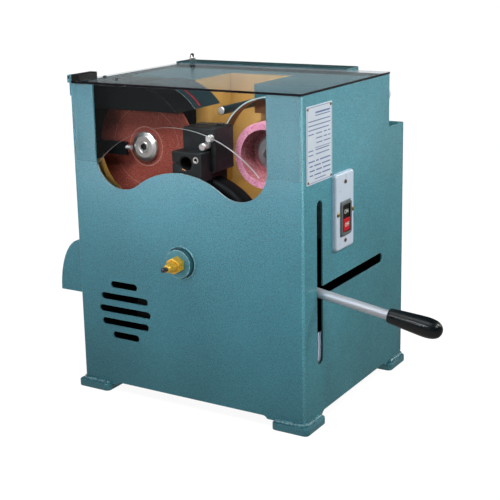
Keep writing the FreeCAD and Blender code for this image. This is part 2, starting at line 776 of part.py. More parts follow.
# ------------------------------------------------------- disc spindle
node(turned("Y", (disc_x, disc_y, disc_z), [
    (disc_bore, 0), (disc_r, 0), (disc_r, disc_t), (disc_bore, disc_t),
]), "cut_off_disc")
node(group(
    turned("Y", (disc_x, disc_y - 0.1 - flange_t, disc_z), [
        (8.6, 0), (18, 0), (flange_r, 3), (flange_r, flange_t), (8.1, flange_t),
        (8.1, 6.4), (5.05, 6.4), (5.05, 4.4), (8.6, 4.4),
    ]),
    turned("Y", (disc_x, disc_y + disc_t + 0.1, disc_z), [
        (8.03, 0), (flange_r, 0), (flange_r, 4), (18, 6.4), (8.03, 6.4),
    ]),
), "disc_flanges")
node(cut(
    turned("Y", (disc_x, disc_y - flange_t, disc_z), [
        (0, 0), (7.6, 0), (8.4, 0.8), (8.4, 4.2), (4.9, 4.2), (4.9, 27), (0, 27),
    ]),
    hexagon(10.4, 48, 52.6, disc_x, disc_z),
), "disc_bolt")
node(turned("Y", (disc_x, 55.6, disc_z), [
    (5, 0), (8, 0), (8, 10.4), (spin_r, 10.4), (spin_r, 36), (14, 36), (14, 43),
    (spin_r, 43), (spin_r, 251.4), (0, 251.4), (0, 24), (5, 24),
]), "disc_spindle")
node(turned("Y", (disc_x, 291, disc_z), [
    (spin_r + 0.02, 0), (33, 0), (33, 1.5), (28, 3), (28, 11), (33, 12.5), (33, 14),
    (spin_r + 0.02, 14),
]), "disc_pulley")


def housing(x, z, y0):
    long = cab_d - skin - y0
    return turned("Y", (x, y0, z), [
        (21, 0), (25, 0), (25, long - 6), (40, long - 6), (40, long), (21, long),
    ])


node(group(housing(disc_x, disc_z, 100), housing(cup_x, cup_z, 150)), "spindle_housings")


def bearing(x, z, y0):
    return turned("Y", (x, y0, z), [
        (spin_r + 0.06, 0), (20.95, 0), (20.95, 12), (spin_r + 0.06, 12),
    ])


node(group(
    bearing(disc_x, disc_z, 103), bearing(disc_x, disc_z, 262),
    bearing(cup_x, cup_z, 153), bearing(cup_x, cup_z, 262),
), "spindle_bearings")

# -------------------------------------------------------- cup spindle
node(turned("Y", (cup_x, cup_y, cup_z), [
    (cup_in, 0), (cup_r - 0.8, 0), (cup_r, 0.8), (cup_r, cup_l), (spin_r + 0.1, cup_l),
    (spin_r + 0.1, cup_deep), (cup_in - 2, cup_deep),
]), "cup_wheel")
node(group(
    turned("Y", (cup_x, 112, cup_z), [
        (8.1, 0), (22, 0), (27, 2.5), (27, 9.9), (8.1, 9.9),
    ]),
    cut(hexagon(24, 102.5, 111.9, cup_x, cup_z), cyl("Y", 8.1, 100, 114, cup_x, cup_z)),
), "cup_flange_and_nut")
node(turned("Y", (cup_x, 99.5, cup_z), [
    (0, 0), (7, 0), (8, 1), (8, 22.5), (spin_r, 22.5), (spin_r, 38.6), (18, 38.6), (18, 44.5),
    (spin_r, 44.5), (spin_r, 221.5), (0, 221.5),
]), "cup_spindle")
node(turned("Y", (cup_x, 305.5, cup_z), [
    (spin_r + 0.02, 0), (33, 0), (33, 1.5), (28, 3), (28, 11), (33, 12.5), (33, 14),
    (spin_r + 0.02, 14),
]), "cup_pulley")

# --------------------------------------------------- motor and belts
node(fuse(
    turned("Y", (mot_x, 75, mot_z), [
        (0, 0), (58, 0), (mot_r, 8), (mot_r, 182), (58, 190), (9.56, 190), (9.56, 178),
        (56, 178), (56, 12), (0, 12),
    ]),
    box(72, 148, 110, 230, skirt + skin, 45),
), "motor_body")
node(turned("Y", (mot_x, 90, mot_z), [
    (0, 0), (9.5, 0), (9.5, 14), (45, 14), (45, 120), (9.5, 120), (9.5, 231), (0, 231),
]), "motor_rotor")
node(turned("Y", (mot_x, 291, mot_z), [
    (9.52, 0), (36, 0), (36, 1.5), (31, 3), (31, 11), (36, 12.5), (36, 16), (31, 17.5),
    (31, 25.5), (36, 27), (36, 28.5), (9.52, 28.5),
]), "motor_pulley")


def loop(a, ra, b, rb, y, depth):
    """The outline of a belt around two wheels, as a prism along Y."""
    dx, dz = b[0] - a[0], b[1] - a[1]
    far = math.hypot(dx, dz)
    lean = math.atan2(dz, dx)
    turn = math.acos((ra - rb) / far)
    p = lambda c, r, t: Vec(c[0] + r * math.cos(t), y, c[1] + r * math.sin(t))
    a1, a2 = lean + turn, lean - turn
    wire = Part.Wire([
        Part.Arc(p(a, ra, a1), p(a, ra, lean + math.pi), p(a, ra, a2)).toShape(),
        Part.LineSegment(p(a, ra, a2), p(b, rb, a2)).toShape(),
        Part.Arc(p(b, rb, a2), p(b, rb, lean), p(b, rb, a1)).toShape(),
        Part.LineSegment(p(b, rb, a1), p(a, ra, a1)).toShape(),
    ])
    return prism(wire, Vec(0, depth, 0))


m = (mot_x.value, mot_z.value)
belts = []
for wheel, y in (((disc_x.value, disc_z.value), 294.5), ((cup_x.value, cup_z.value), 309.0)):
    belts.append(cut(
        loop(m, 35.4, wheel, 32.4, y, 7.0),
        loop(m, 31.35, wheel, 28.35, y - 1, 9.0),
    ))
node(group(*belts), "drive_belts")

# ---------------------------------------------- switch, tag and gland
node(cut(
    rounded(
        rounded(box(cab_w, cab_w + sw_t, sw_y0, sw_y1, sw_z0, sw_z1), 6,
                lambda c, e: across(e)),
        3, lambda c, e: c.x > cab_w.value + sw_t.value - 0.01,
    ),
    box(cab_w - 1, cab_w + sw_t + 1, mod_y0 - 0.2, mod_y1 + 0.2, mod_z0 - 0.2, mod_z1 + 0.2),
), "switch_plate")
node(cut(
    rounded(box(368, cab_w + sw_t + 2.6, mod_y0, mod_y1, mod_z0, mod_z1), 4,
            lambda c, e: across(e)),
    box(392, cab_w + 20, but_y0 - gap, but_y1 + gap, but_z - but_t - gap, but_z + but_t + gap),
), "switch_module")
half = gap / 2
for label, z0, z1, out in (
    ("on_button", but_z + half, but_z + but_t, 1.6),
    ("off_button", but_z - but_t, but_z - half, 2.4),
):
    node(rounded(
        box(397, cab_w + sw_t + out, but_y0, but_y1, z0, z1), 1.2,
        lambda c, e: c.x > cab_w.value + sw_t.value + 1,
    ), label)
plate_face = cab_w + sw_t
sw_screw = lambda y, z, x: turned("X", (x, y, z), [
    (0, 0), (3, 0), (3, 0.8), (2, 1.8), (0, 2.2),
])
sw_mid = (sw_y0 + sw_y1) / 2
sw_low, sw_high = sw_z0 + 12.8, sw_z1 - 14
node(group(
    sw_screw(sw_mid, sw_high, plate_face), sw_screw(sw_mid, sw_low, plate_face),
    sw_screw(sw_mid - 23, 303.5, plate_face), sw_screw(sw_mid + 23, 303.5, plate_face),
), "switch_screws")

node(box(cab_w, cab_w + tag_t, tag_y0, tag_y1, tag_z0, tag_z1), "rating_plate")
rivet = lambda y, z: turned("X", (cab_w + tag_t, y, z), [
    (0, 0), (2.2, 0), (1.9, 0.7), (0, 1.2),
])
node(group(*[
    rivet(y, z)
    for y in (tag_y0 + 4, tag_y1 - 4)
    for z in (tag_z0 + 4, tag_z1 - 4)
]), "rating_plate_rivets")
node(turned("Y", (381, cab_d, 453), [
    (5, 0), (16, 0), (16, 8), (15, 13), (11.5, 17), (8, 18), (5, 18),
]), "cable_gland")

# ------------------------------------------------------------- output
doc.recompute()
bad = []
for o in doc.Objects:
    if "Invalid" in o.State or "Error" in o.State:
        bad.append("%s (%s): %s" % (o.Name, o.Label, o.State))
for o in nodes:
    if o.Shape.isNull() or not o.Shape.isValid() or not o.Shape.Solids:
        bad.append("%s: bad shape" % o.Label)
if bad:
    raise RuntimeError("; ".join(bad))
low, high = [1e9] * 3, [-1e9] * 3
for o in nodes:
    b = o.Shape.BoundBox
    low = [min(a, c) for a, c in zip(low, (b.XMin, b.YMin, b.ZMin))]
    high = [max(a, c) for a, c in zip(high, (b.XMax, b.YMax, b.ZMax))]
    o.Shape.exportStep("parts/%s.step" % o.Label)
    print("%-22s %d solids %10.0f mm3" % (o.Label, len(o.Shape.Solids), o.Shape.Volume))
print(len(nodes), "nodes; box", [round(v, 2) for v in low], [round(v, 2) for v in high])
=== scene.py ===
"""Looks of the bench cut-off and face grinder: materials, fine pieces, floor, light and camera."""

import json
import math

import bmesh
import bpy
from mathutils import Matrix, Vector

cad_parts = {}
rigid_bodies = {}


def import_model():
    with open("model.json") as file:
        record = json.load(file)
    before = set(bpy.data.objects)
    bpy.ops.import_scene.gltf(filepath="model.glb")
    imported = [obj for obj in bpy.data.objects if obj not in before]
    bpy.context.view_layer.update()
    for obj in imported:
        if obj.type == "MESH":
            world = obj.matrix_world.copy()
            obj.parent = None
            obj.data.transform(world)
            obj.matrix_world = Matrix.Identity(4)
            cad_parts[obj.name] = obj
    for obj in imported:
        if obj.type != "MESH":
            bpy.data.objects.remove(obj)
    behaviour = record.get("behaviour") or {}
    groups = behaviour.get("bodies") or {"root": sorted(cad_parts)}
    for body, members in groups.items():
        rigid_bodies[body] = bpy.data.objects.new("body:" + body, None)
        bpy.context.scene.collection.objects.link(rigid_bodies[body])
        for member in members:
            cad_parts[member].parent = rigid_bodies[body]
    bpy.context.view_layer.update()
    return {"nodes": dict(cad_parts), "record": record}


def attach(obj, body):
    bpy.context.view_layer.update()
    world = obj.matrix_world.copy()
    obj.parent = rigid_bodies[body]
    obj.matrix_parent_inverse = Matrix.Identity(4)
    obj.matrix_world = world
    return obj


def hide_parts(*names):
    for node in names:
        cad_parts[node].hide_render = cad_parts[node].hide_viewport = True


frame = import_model()
nodes = frame["nodes"]

# Lengths below are in millimetres from the cabinet's front left bottom corner, with x to the
# right, y to the rear and z up. at() turns them into the row frame in metres.
SX, SY = 271.33, 147.0


def at(x, y, z):
    return Vector(((x - SX) / 1000, (y - SY) / 1000, z / 1000))


# ------------------------------------------------------------------ camera
def make_camera():
    f, az, el, roll = 1116.0, math.radians(31.22), math.radians(13.34), math.radians(-1.12)
    back = Vector((math.sin(az) * math.cos(el), -math.cos(az) * math.cos(el), math.sin(el)))
    right = Vector((math.cos(az), math.sin(az), 0))
    up = back.cross(right)
    c, s = math.cos(roll), math.sin(roll)
    r2, u2 = c * right + s * up, c * up - s * right
    cam = bpy.data.cameras.new("view")
    cam.sensor_width, cam.lens = 36.0, f * 36 / 500
    cam.shift_y = -40 / 500
    cam.clip_start, cam.clip_end = 0.05, 50
    o = bpy.data.objects.new("view", cam)
    m = Matrix((r2, u2, back)).transposed().to_4x4()
    m.translation = at(1105, -1303, 683)
    o.matrix_world = m
    bpy.context.scene.collection.objects.link(o)
    bpy.context.scene.camera = o


make_camera()


# ------------------------------------------------------------------ materials
class Look:
    """A material with short ways to add nodes."""

    def __init__(self, name):
        self.mat = bpy.data.materials.new(name)
        self.mat.use_nodes = True
        self.tree = self.mat.node_tree
        self.bsdf = self.tree.nodes["Principled BSDF"]
        self.where = self.add("ShaderNodeTexCoord").outputs["Object"]

    def add(self, kind, **values):
        n = self.tree.nodes.new(kind)
        for k, v in values.items():
            setattr(n, k, v)
        return n

    def link(self, a, b):
        self.tree.links.new(a, b)

    def set(self, **values):
        names = dict(rough="Roughness", metal="Metallic", ior="IOR", alpha="Alpha", coat="Coat Weight",
                     coat_rough="Coat Roughness", spec="Specular IOR Level", color="Base Color",
                     aniso="Anisotropic", trans="Transmission Weight", sheen="Sheen Weight")
        for k, v in values.items():
            self.bsdf.inputs[names[k]].default_value = (*v, 1) if isinstance(v, tuple) else v
        return self

    def noise(self, scale, detail=3.0, rough=0.5, stretch=None, offset=(0, 0, 0), dim="3D"):
        n = self.add("ShaderNodeTexNoise", noise_dimensions=dim)
        n.inputs["Scale"].default_value = scale
        n.inputs["Detail"].default_value = detail
        n.inputs["Roughness"].default_value = rough
        src = self.where
        if stretch or any(offset):
            m = self.add("ShaderNodeMapping")
            m.inputs["Scale"].default_value = stretch or (1, 1, 1)
            m.inputs["Location"].default_value = offset
            self.link(src, m.inputs["Vector"])
            src = m.outputs["Vector"]
        self.link(src, n.inputs["Vector"])
        return n.outputs["Fac"]

    def ramp(self, fac, *stops, interp="LINEAR"):
        r = self.add("ShaderNodeValToRGB")
        e = r.color_ramp.elements
        r.color_ramp.interpolation = interp
        while len(e) < len(stops):
            e.new(0.5)
        for k, (p, c) in zip(e, stops):
            k.position = p
            k.color = (*c, 1) if isinstance(c, tuple) else (c, c, c, 1)
        self.link(fac, r.inputs["Fac"])
        return r.outputs["Color"]

    def span(self, fac, a0, a1, b0, b1):
        m = self.add("ShaderNodeMapRange")
        for k, v in zip(("From Min", "From Max", "To Min", "To Max"), (a0, a1, b0, b1)):
            m.inputs[k].default_value = v
        self.link(fac, m.inputs["Value"])
        return m.outputs["Result"]

    def math(self, op, a, b=None):
        m = self.add("ShaderNodeMath", operation=op)
        for k, v in enumerate((a, b)):
            if v is None:
                continue
            if isinstance(v, (int, float)):
                m.inputs[k].default_value = v
            else:
                self.link(v, m.inputs[k])
        return m.outputs["Value"]

    def mix(self, fac, a, b, blend="MIX"):
        m = self.add("ShaderNodeMix", data_type="RGBA", blend_type=blend)
        for k, v in ((0, fac), (6, a), (7, b)):
            if isinstance(v, tuple):
                m.inputs[k].default_value = (*v, 1)
            elif isinstance(v, (int, float)):
                m.inputs[k].default_value = v
            else:
                self.link(v, m.inputs[k])
        return m.outputs[2]

    def color(self, out):
        self.link(out, self.bsdf.inputs["Base Color"])
        return self

    def rough(self, out):
        self.link(out, self.bsdf.inputs["Roughness"])
        return self

    def bump(self, fac, strength, distance, after=None):
        b = self.add("ShaderNodeBump")
        b.inputs["Strength"].default_value = strength
        b.inputs["Distance"].default_value = distance
        self.link(fac, b.inputs["Height"])
        if after is not None:
            self.link(after, b.inputs["Normal"])
        self.link(b.outputs["Normal"], self.bsdf.inputs["Normal"])
        return b.outputs["Normal"]

    def edge(self, radius, lo=0.02, hi=0.25):
        """1 along sharp edges, 0 on flats."""
        b = self.add("ShaderNodeBevel", samples=4)
        b.inputs["Radius"].default_value = radius
        g = self.add("ShaderNodeNewGeometry")
        d = self.add("ShaderNodeVectorMath", operation="DOT_PRODUCT")
        self.link(b.outputs["Normal"], d.inputs[0])
        self.link(g.outputs["Normal"], d.inputs[1])
        one = self.math("SUBTRACT", 1.0, d.outputs["Value"])
        return self.span(one, lo, hi, 0.0, 1.0)


def shade(c, k):
    return tuple(min(1.0, x * k) for x in c)


def enamel(name, color, vary=0.10, rough=0.38, grain=420, deep=0.00012, wear_and_highlight=0.0, wear_and_highlight_color=(0.5, 0.5, 0.5), coat=0.0,
           spec=0.5):
    """Sprayed enamel on sheet metal, with a fine hammertone grain and lighter edges: partly rubbed paint, partly a
    painted highlight.
    """
    k = Look(name)
    k.set(metal=0.0, ior=1.5, coat=coat, coat_rough=0.18, spec=spec)
    fine = k.noise(grain, 2.0, 0.6)
    wide = k.noise(6, 3, 0.5)
    tone = k.math("ADD", k.math("MULTIPLY", fine, 0.8), k.math("MULTIPLY", wide, 0.2))
    col = k.ramp(tone, (0.36, shade(color, 1 - vary)), (0.5, color), (0.64, shade(color, 1 + vary)))
    # lighter colour along sharp edges, partly rubbed paint and partly a painted highlight
    if wear_and_highlight:
        e = k.math("MULTIPLY", k.edge(0.0012), k.span(k.noise(160, 3, 0.6), 0.35, 0.7, 0.0, wear_and_highlight))
        col = k.mix(e, col, wear_and_highlight_color)
    k.color(col)
    k.rough(k.span(k.noise(40, 3, 0.6), 0.3, 0.7, rough - 0.05, rough + 0.07))
    k.bump(fine, 0.5, deep)
    return k.mat


TEAL = (0.047, 0.232, 0.297)
M = {}
M["teal_paint"] = enamel("teal_paint", TEAL, 0.435, 0.42, 720, 0.00018, 0.35, (0.30, 0.50, 0.56), 0.22)
# pale teal for the window's up-facing cut edges: a painted highlight
M["teal_rim_painted_highlight"] = enamel("teal_rim_painted_highlight", (0.30, 0.46, 0.50), 0.3, 0.25, 400, 0.0002, 0.0, (0.5, 0.5, 0.5), 0.4)
# lighter, glossier teal for the boss's bead: a painted highlight
M["teal_bead_painted_highlight"] = enamel("teal_bead_painted_highlight", (0.085, 0.275, 0.335), 0.3, 0.20, 350, 0.0006, 0.0, (0.5, 0.5, 0.5), 0.6)
# pale teal for the boss face's rim and a ring along its bead: a painted highlight
M["teal_crest_painted_highlight"] = enamel("teal_crest_painted_highlight", (0.22, 0.41, 0.46), 0.5, 0.20, 300, 0.0006, 0.0, (0.5, 0.5, 0.5), 0.6)
# lighter teal for the weld beads over the feet: a painted highlight
M["pad_bead_painted_highlight"] = enamel("pad_bead_painted_highlight", (0.125, 0.325, 0.385), 0.5, 0.20, 300, 0.0006, 0.0, (0.5, 0.5, 0.5), 0.6)
# lighter teal on the front right bend: a painted highlight
M["teal_bend_painted_highlight"] = enamel("teal_bend_painted_highlight", (0.082, 0.305, 0.375), 0.45, 0.36, 720, 0.0002, 0.35, (0.30, 0.50, 0.56), 0.35)
# darker teal for the boss's side wall and groove and the slots' inner faces: painted shade
M["teal_side_painted_shade"] = enamel("teal_side_painted_shade", (0.026, 0.115, 0.148), 0.25, 0.35, 500, 0.0002)
# foot pads: their edges strongly lightened, partly rubbed paint and mostly a painted highlight
M["teal_pad_edge_highlight"] = enamel("teal_pad_edge_highlight", TEAL, 0.40, 0.34, 600, 0.0003, 0.9, (0.34, 0.53, 0.58), 0.4)
# darker teal for the upper rear cover's top face: painted shade
M["teal_top_painted_shade"] = enamel("teal_top_painted_shade", (0.034, 0.088, 0.100), 0.25, 0.55, 600, 0.0002, 0.3, (0.30, 0.50, 0.56), 0.0, 0.25)
M["dark_teal_paint"] = enamel("dark_teal_paint", (0.011, 0.031, 0.040), 0.2, 0.40, 430, 0.0001, 0.4, (0.16, 0.24, 0.27), 0.0, 0.25)
# pale teal on the cup shroud's front edge: a painted highlight
M["shroud_lip_painted_highlight"] = enamel("shroud_lip_painted_highlight", (0.42, 0.58, 0.60), 0.1, 0.35, 430, 0.0001)
# light grey teal on the rear guard's front lip: a painted highlight
M["guard_lip_painted_highlight"] = enamel("guard_lip_painted_highlight", (0.15, 0.21, 0.22), 0.1, 0.35, 430, 0.0001)
M["red_line"] = enamel("red_line", (0.24, 0.012, 0.016), 0.1, 0.4, 430, 0.00005)
M["black_paint"] = enamel("black_paint", (0.004, 0.0055, 0.0065), 0.2, 0.46, 600, 0.0001, 0.3, (0.06, 0.07, 0.07), 0.0, 0.10)
# near-black primer for inner faces seen through slots, vents and the window: primer, darkened as painted shade
M["dark_primer_and_shade"] = enamel("dark_primer_and_shade", (0.008, 0.012, 0.015), 0.5, 0.7, 120, 0.0002, 0.0, (0.5, 0.5, 0.5), 0.0, 0.06)


def grimy(name, color, grime, amount, rough=0.45):
    """Smooth enamel under a film of grinding dust that has run down in places."""
    k = Look(name)
    k.set(metal=0.0, ior=1.5)
    fine = k.noise(300, 3, 0.6)
    col = k.ramp(fine, (0.3, shade(color, 0.92)), (0.7, shade(color, 1.06)))
    runs = k.noise(26, 4, 0.62, (1, 1, 0.35))
    film = k.noise(9, 3, 0.55, None, (0.3, 0.1, 0.7))
    f = k.math("MULTIPLY", k.span(runs, 0.38, 0.72, 0.0, 1.0), k.span(film, 0.3, 0.65, 0.35, 1.0))
    k.color(k.mix(k.math("MULTIPLY", f, amount), col, grime))
    k.rough(k.span(runs, 0.3, 0.7, rough - 0.06, rough + 0.2))
    k.bump(fine, 0.3, 0.00008)
    return k.mat


M["yellow_paint"] = grimy("yellow_paint", (0.50, 0.295, 0.068), (0.19, 0.10, 0.034), 0.55)
# darker brown-yellow for the deck's lower apron and the inside of the cup shroud: a grinding dust film, partly painted
# shade
M["brown_film_and_shade"] = grimy("brown_film_and_shade", (0.33, 0.165, 0.05), (0.11, 0.05, 0.02), 0.7, 0.55)


def black_iron():
    k = Look("black_iron")
    k.set(metal=0.35)
    cloud = k.noise(60, 4, 0.6)
    col = k.ramp(cloud, (0.3, (0.008, 0.010, 0.012)), (0.7, (0.018, 0.023, 0.026)))
    e = k.math("MULTIPLY", k.edge(0.0010), k.span(k.noise(220, 3, 0.6), 0.3, 0.7, 0.1, 0.6))
    k.color(k.mix(e, col, (0.12, 0.13, 0.14)))
    k.rough(k.span(k.noise(35, 4, 0.6), 0.3, 0.7, 0.32, 0.52))
    k.bump(k.noise(900, 3, 0.6), 0.35, 0.0001)
    return k.mat


M["black_iron"] = black_iron()


def turned_metal(name, color, rough=0.28, rings=None, scale=900, dirt=0.25, metal=1.0, even=1.0):
    """Machined metal. rings is (x, z) of a lathe axis along y, or None for a plain finish."""
    k = Look(name)
    k.set(metal=metal)
    cloud = k.noise(45, 4, 0.6)
    col = k.ramp(cloud, (0.25, shade(color, 1 - dirt)), (0.7, color))
    # sharp edges 15 % lighter: a painted highlight
    if even == 1.0:
        col = k.mix(k.math("MULTIPLY", k.edge(0.0008), 0.4), col, shade(color, 1.15))
    k.color(col)
    k.rough(k.span(k.noise(120, 4, 0.6), 0.3, 0.7, rough - 0.07 * even, rough + 0.1 * even))
    if rings:
        s = k.add("ShaderNodeSeparateXYZ")
        k.link(k.where, s.inputs[0])
        p = at(rings[0], 0, rings[1])
        dx, dz = k.math("SUBTRACT", s.outputs["X"], p.x), k.math("SUBTRACT", s.outputs["Z"], p.z)
        r = k.math("SQRT", k.math("ADD", k.math("MULTIPLY", dx, dx), k.math("MULTIPLY", dz, dz)))
        n = k.add("ShaderNodeTexNoise", noise_dimensions="1D")
        n.inputs["Scale"].default_value = 2200
        n.inputs["Detail"].default_value = 2
        k.link(r, n.inputs["W"])
        k.bump(n.outputs["Fac"], 0.2, 0.00003)
    elif scale:
        k.bump(k.noise(scale, 2, 0.5), 0.2, 0.00004)
    return k.mat


M["steel"] = turned_metal("steel", (0.60, 0.61, 0.63), 0.30)
M["bright_steel"] = turned_metal("bright_steel", (0.86, 0.87, 0.88), 0.34, None, 900, 0.1)
M["dark_steel"] = turned_metal("dark_steel", (0.10, 0.10, 0.11), 0.30)
M["disc_steel"] = turned_metal("disc_steel", (0.80, 0.81, 0.83), 0.33, (98, 387), 900, 0.1)
M["cup_steel"] = turned_metal("cup_steel", (0.55, 0.57, 0.60), 0.36, (287, 381))
M["aluminium"] = turned_metal("aluminium", (0.62, 0.63, 0.64), 0.35)
M["chrome"] = turned_metal("chrome", (0.72, 0.76, 0.83), 0.54, None, 0, 0.02, 0.75, 0.05)
M["polished"] = turned_metal("polished", (0.85, 0.87, 0.88), 0.10, None, 500, 0.05)
M["zinc"] = turned_metal("zinc", (0.66, 0.67, 0.70), 0.42, None, 300, 0.15)
M["brass"] = turned_metal("brass", (0.83, 0.50, 0.05), 0.30, None, 700, 0.12, 0.35)
M["old_brass"] = turned_metal("old_brass", (0.42, 0.27, 0.10), 0.34, None, 700, 0.45)
M["copper"] = turned_metal("copper", (0.80, 0.38, 0.16), 0.30, None, 700, 0.2)
M["grey_iron"] = enamel("grey_iron", (0.09, 0.10, 0.11), 0.2, 0.55, 400, 0.0003)


def plastic(name, color, rough=0.25, vary=0.05, grain=1200, deep=0.00003, coat=0.0, spec=0.5):
    k = Look(name)
    k.set(metal=0.0, ior=1.49, coat=coat, coat_rough=0.06, spec=spec)
    fine = k.noise(grain, 2, 0.5)
    wide = k.noise(25, 3, 0.5)
    k.color(k.ramp(wide, (0.3, shade(color, 1 - vary)), (0.7, shade(color, 1 + vary))))
    k.rough(k.span(k.noise(60, 3, 0.6), 0.3, 0.7, rough - 0.04, rough + 0.06))
    if deep:
        k.bump(fine, 0.3, deep)
    return k.mat


M["black_gloss_plastic"] = plastic("black_gloss_plastic", (0.004, 0.009, 0.012), 0.29, 0.1, 900, 0, 0.0, 0.48)
M["black_satin"] = plastic("black_satin", (0.005, 0.006, 0.008), 0.34, 0.15)
M["drum_black"] = plastic("drum_black", (0.003, 0.004, 0.005), 0.55, 0.2, 1200, 0.00003, 0.0, 0.12)
M["key_black"] = plastic("key_black", (0.003, 0.004, 0.005), 0.4, 0.15, 1200, 0.00003, 0.0, 0.2)
M["red_plastic"] = plastic("red_plastic", (0.60, 0.008, 0.022), 0.4, 0.05, 1200, 0.00003, 0.0, 0.2)
M["grey_plastic"] = plastic("grey_plastic", (0.125, 0.15, 0.155), 0.40, 0.08)
M["pale_plastic"] = plastic("pale_plastic", (0.67, 0.79, 0.97), 0.30, 0.03)
M["tag_enamel"] = plastic("tag_enamel", (0.75, 0.84, 0.98), 0.35, 0.03)
M["tag_blue"] = plastic("tag_blue", (0.11, 0.20, 0.47), 0.4, 0.06)
M["white_legend"] = plastic("white_legend", (0.80, 0.82, 0.78), 0.4, 0.03)
M["belt_rubber"] = plastic("belt_rubber", (0.014, 0.014, 0.015), 0.6, 0.2, 800, 0.0002)


def abrasive(name, base, low, high, specks, rough, grain, deep, rings=None):
    """Bonded grit: a base colour with darker pores, lighter grains and a few foreign specks."""
    k = Look(name)
    k.set(metal=0.0, ior=1.45, spec=0.25)
    v = k.add("ShaderNodeTexVoronoi", feature="F1")
    v.inputs["Scale"].default_value = grain
    k.link(k.where, v.inputs["Vector"])
    s = k.add("ShaderNodeSeparateColor")
    k.link(v.outputs["Color"], s.inputs[0])
    col = k.ramp(s.outputs["Red"], (0.0, low), (0.25, base), (0.75, base), (1.0, high))
    col = k.mix(k.span(s.outputs["Green"], 0.965, 0.975, 0.0, 0.8), col, specks)
    wide = k.noise(30, 4, 0.6)
    col = k.mix(0.6, col, k.ramp(wide, (0.3, (0.78, 0.78, 0.78)), (0.7, (1.0, 1.0, 1.0))), "MULTIPLY")
    k.color(col)
    k.rough(k.span(s.outputs["Blue"], 0.0, 1.0, rough - 0.12, rough + 0.1))
    k.bump(k.noise(grain * 0.9, 3, 0.6), 0.7, deep)
    return k.mat


M["red_abrasive"] = abrasive("red_abrasive", (0.275, 0.058, 0.042), (0.17, 0.030, 0.023), (0.35, 0.10, 0.075),
                             (0.40, 0.20, 0.16), 0.60, 900, 0.00025)
M["pale_red"] = abrasive("pale_red", (0.40, 0.17, 0.14), (0.28, 0.09, 0.07), (0.50, 0.26, 0.22),
                         (0.45, 0.25, 0.2), 0.60, 900, 0.00025)
M["pink_abrasive"] = abrasive("pink_abrasive", (0.79, 0.32, 0.50), (0.58, 0.17, 0.26), (0.90, 0.54, 0.64),
                              (0.70, 0.26, 0.08), 0.75, 620, 0.0006)
# darker pink on the faces inside the cup's recess
M["cup_recess_pink"] = abrasive("cup_recess_pink", (0.50, 0.17, 0.20), (0.30, 0.09, 0.11), (0.66, 0.32, 0.35),
                          (0.50, 0.20, 0.08), 0.8, 420, 0.0008)


def acrylic(name, color, alpha, rough=0.05, spec=0.5, glance=0.0):
    """Clear or smoked sheet; glance is how much less is seen through it at a flat angle."""
    k = Look(name)
    k.set(metal=0.0, ior=1.49, alpha=alpha, spec=spec)
    k.color(k.ramp(k.noise(9, 3, 0.5), (0.3, shade(color, 0.92)), (0.7, shade(color, 1.08))))
    k.rough(k.span(k.noise(12, 3, 0.55), 0.35, 0.75, rough - 0.01, rough + 0.02))
    if glance:
        f = k.add("ShaderNodeFresnel")
        f.inputs["IOR"].default_value = 1.49
        k.link(k.span(f.outputs[0], 0.04, 0.5, alpha, glance), k.bsdf.inputs["Alpha"])
    return k.mat


M["smoked_acrylic"] = acrylic("smoked_acrylic", (0.05, 0.06, 0.068), 0.06, 0.14, 0.5, 0.21)
M["smoked_edge"] = acrylic("smoked_edge", (0.010, 0.006, 0.012), 0.96, 0.2, 0.2)
M["clear_acrylic"] = acrylic("clear_acrylic", (0.13, 0.13, 0.13), 0.04, 0.06, 0.3)
M["clear_side"] = acrylic("clear_side", (0.50, 0.62, 0.66), 0.42, 0.25)
M["clear_edge"] = acrylic("clear_edge", (0.72, 0.80, 0.83), 0.80, 0.25)


# ------------------------------------------------------------------ mesh tools
def cab(v):
    """A point of the row frame in cabinet millimetres."""
    return Vector((v.x * 1000 + SX, v.y * 1000 + SY, v.z * 1000))


def piece(name, bm, mats, body, stands_for=(), angle=38, weighted=True):
    """Makes an object from a mesh in cabinet millimetres and fixes it to a body."""
    bmesh.ops.recalc_face_normals(bm, faces=bm.faces)
    for v in bm.verts:
        v.co = at(*v.co)
    me = bpy.data.meshes.new(name)
    bm.to_mesh(me)
    bm.free()
    for m in mats:
        me.materials.append(M[m])
    me.shade_smooth()
    me.set_sharp_from_angle(angle=math.radians(angle))
    o = bpy.data.objects.new(name, me)
    bpy.context.scene.collection.objects.link(o)
    if weighted:
        w = o.modifiers.new("normals", "WEIGHTED_NORMAL")
        w.keep_sharp = True
    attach(o, body)
    if stands_for:
        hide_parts(*stands_for)
    return o


body_of_node = {n: b for b, v in frame["record"]["behaviour"]["bodies"].items() for n in v}
slot_of = {s["node"]: s["material_slot"] for s in frame["record"]["subparts"]}


def refined(node, bevel=0.8, seg=3, sharp=32, mats=None, pick=None, splits=(), angle=38, name=None):
    """A finer copy of a CAD node: joined corners, rounded edges and its own materials per face."""
    bm = bmesh.new()
    bm.from_mesh(nodes[node].data)
    for v in bm.verts:
        v.co = cab(v.co)
    bmesh.ops.remove_doubles(bm, verts=bm.verts, dist=0.003)
    bmesh.ops.dissolve_limit(bm, angle_limit=math.radians(0.6), verts=bm.verts, edges=bm.edges)
    for co, no in splits:
        bmesh.ops.bisect_plane(bm, geom=bm.verts[:] + bm.edges[:] + bm.faces[:], dist=0.001,
                               plane_co=co, plane_no=no)
    bm.normal_update()
    if bevel:
        edges = [e for e in bm.edges if len(e.link_faces) == 2 and e.calc_face_angle(0) > math.radians(sharp)]
        bmesh.ops.bevel(bm, geom=edges, offset=bevel, offset_type="OFFSET", segments=seg, profile=0.5,
                        affect="EDGES", clamp_overlap=True)
    bm.normal_update()
    if pick:
        for f in bm.faces:
            f.material_index = pick(f.calc_center_median(), f.normal)
    return piece(name or node + "_shell", bm, mats or [slot_of[node]], body_of_node[node], (node,), angle)


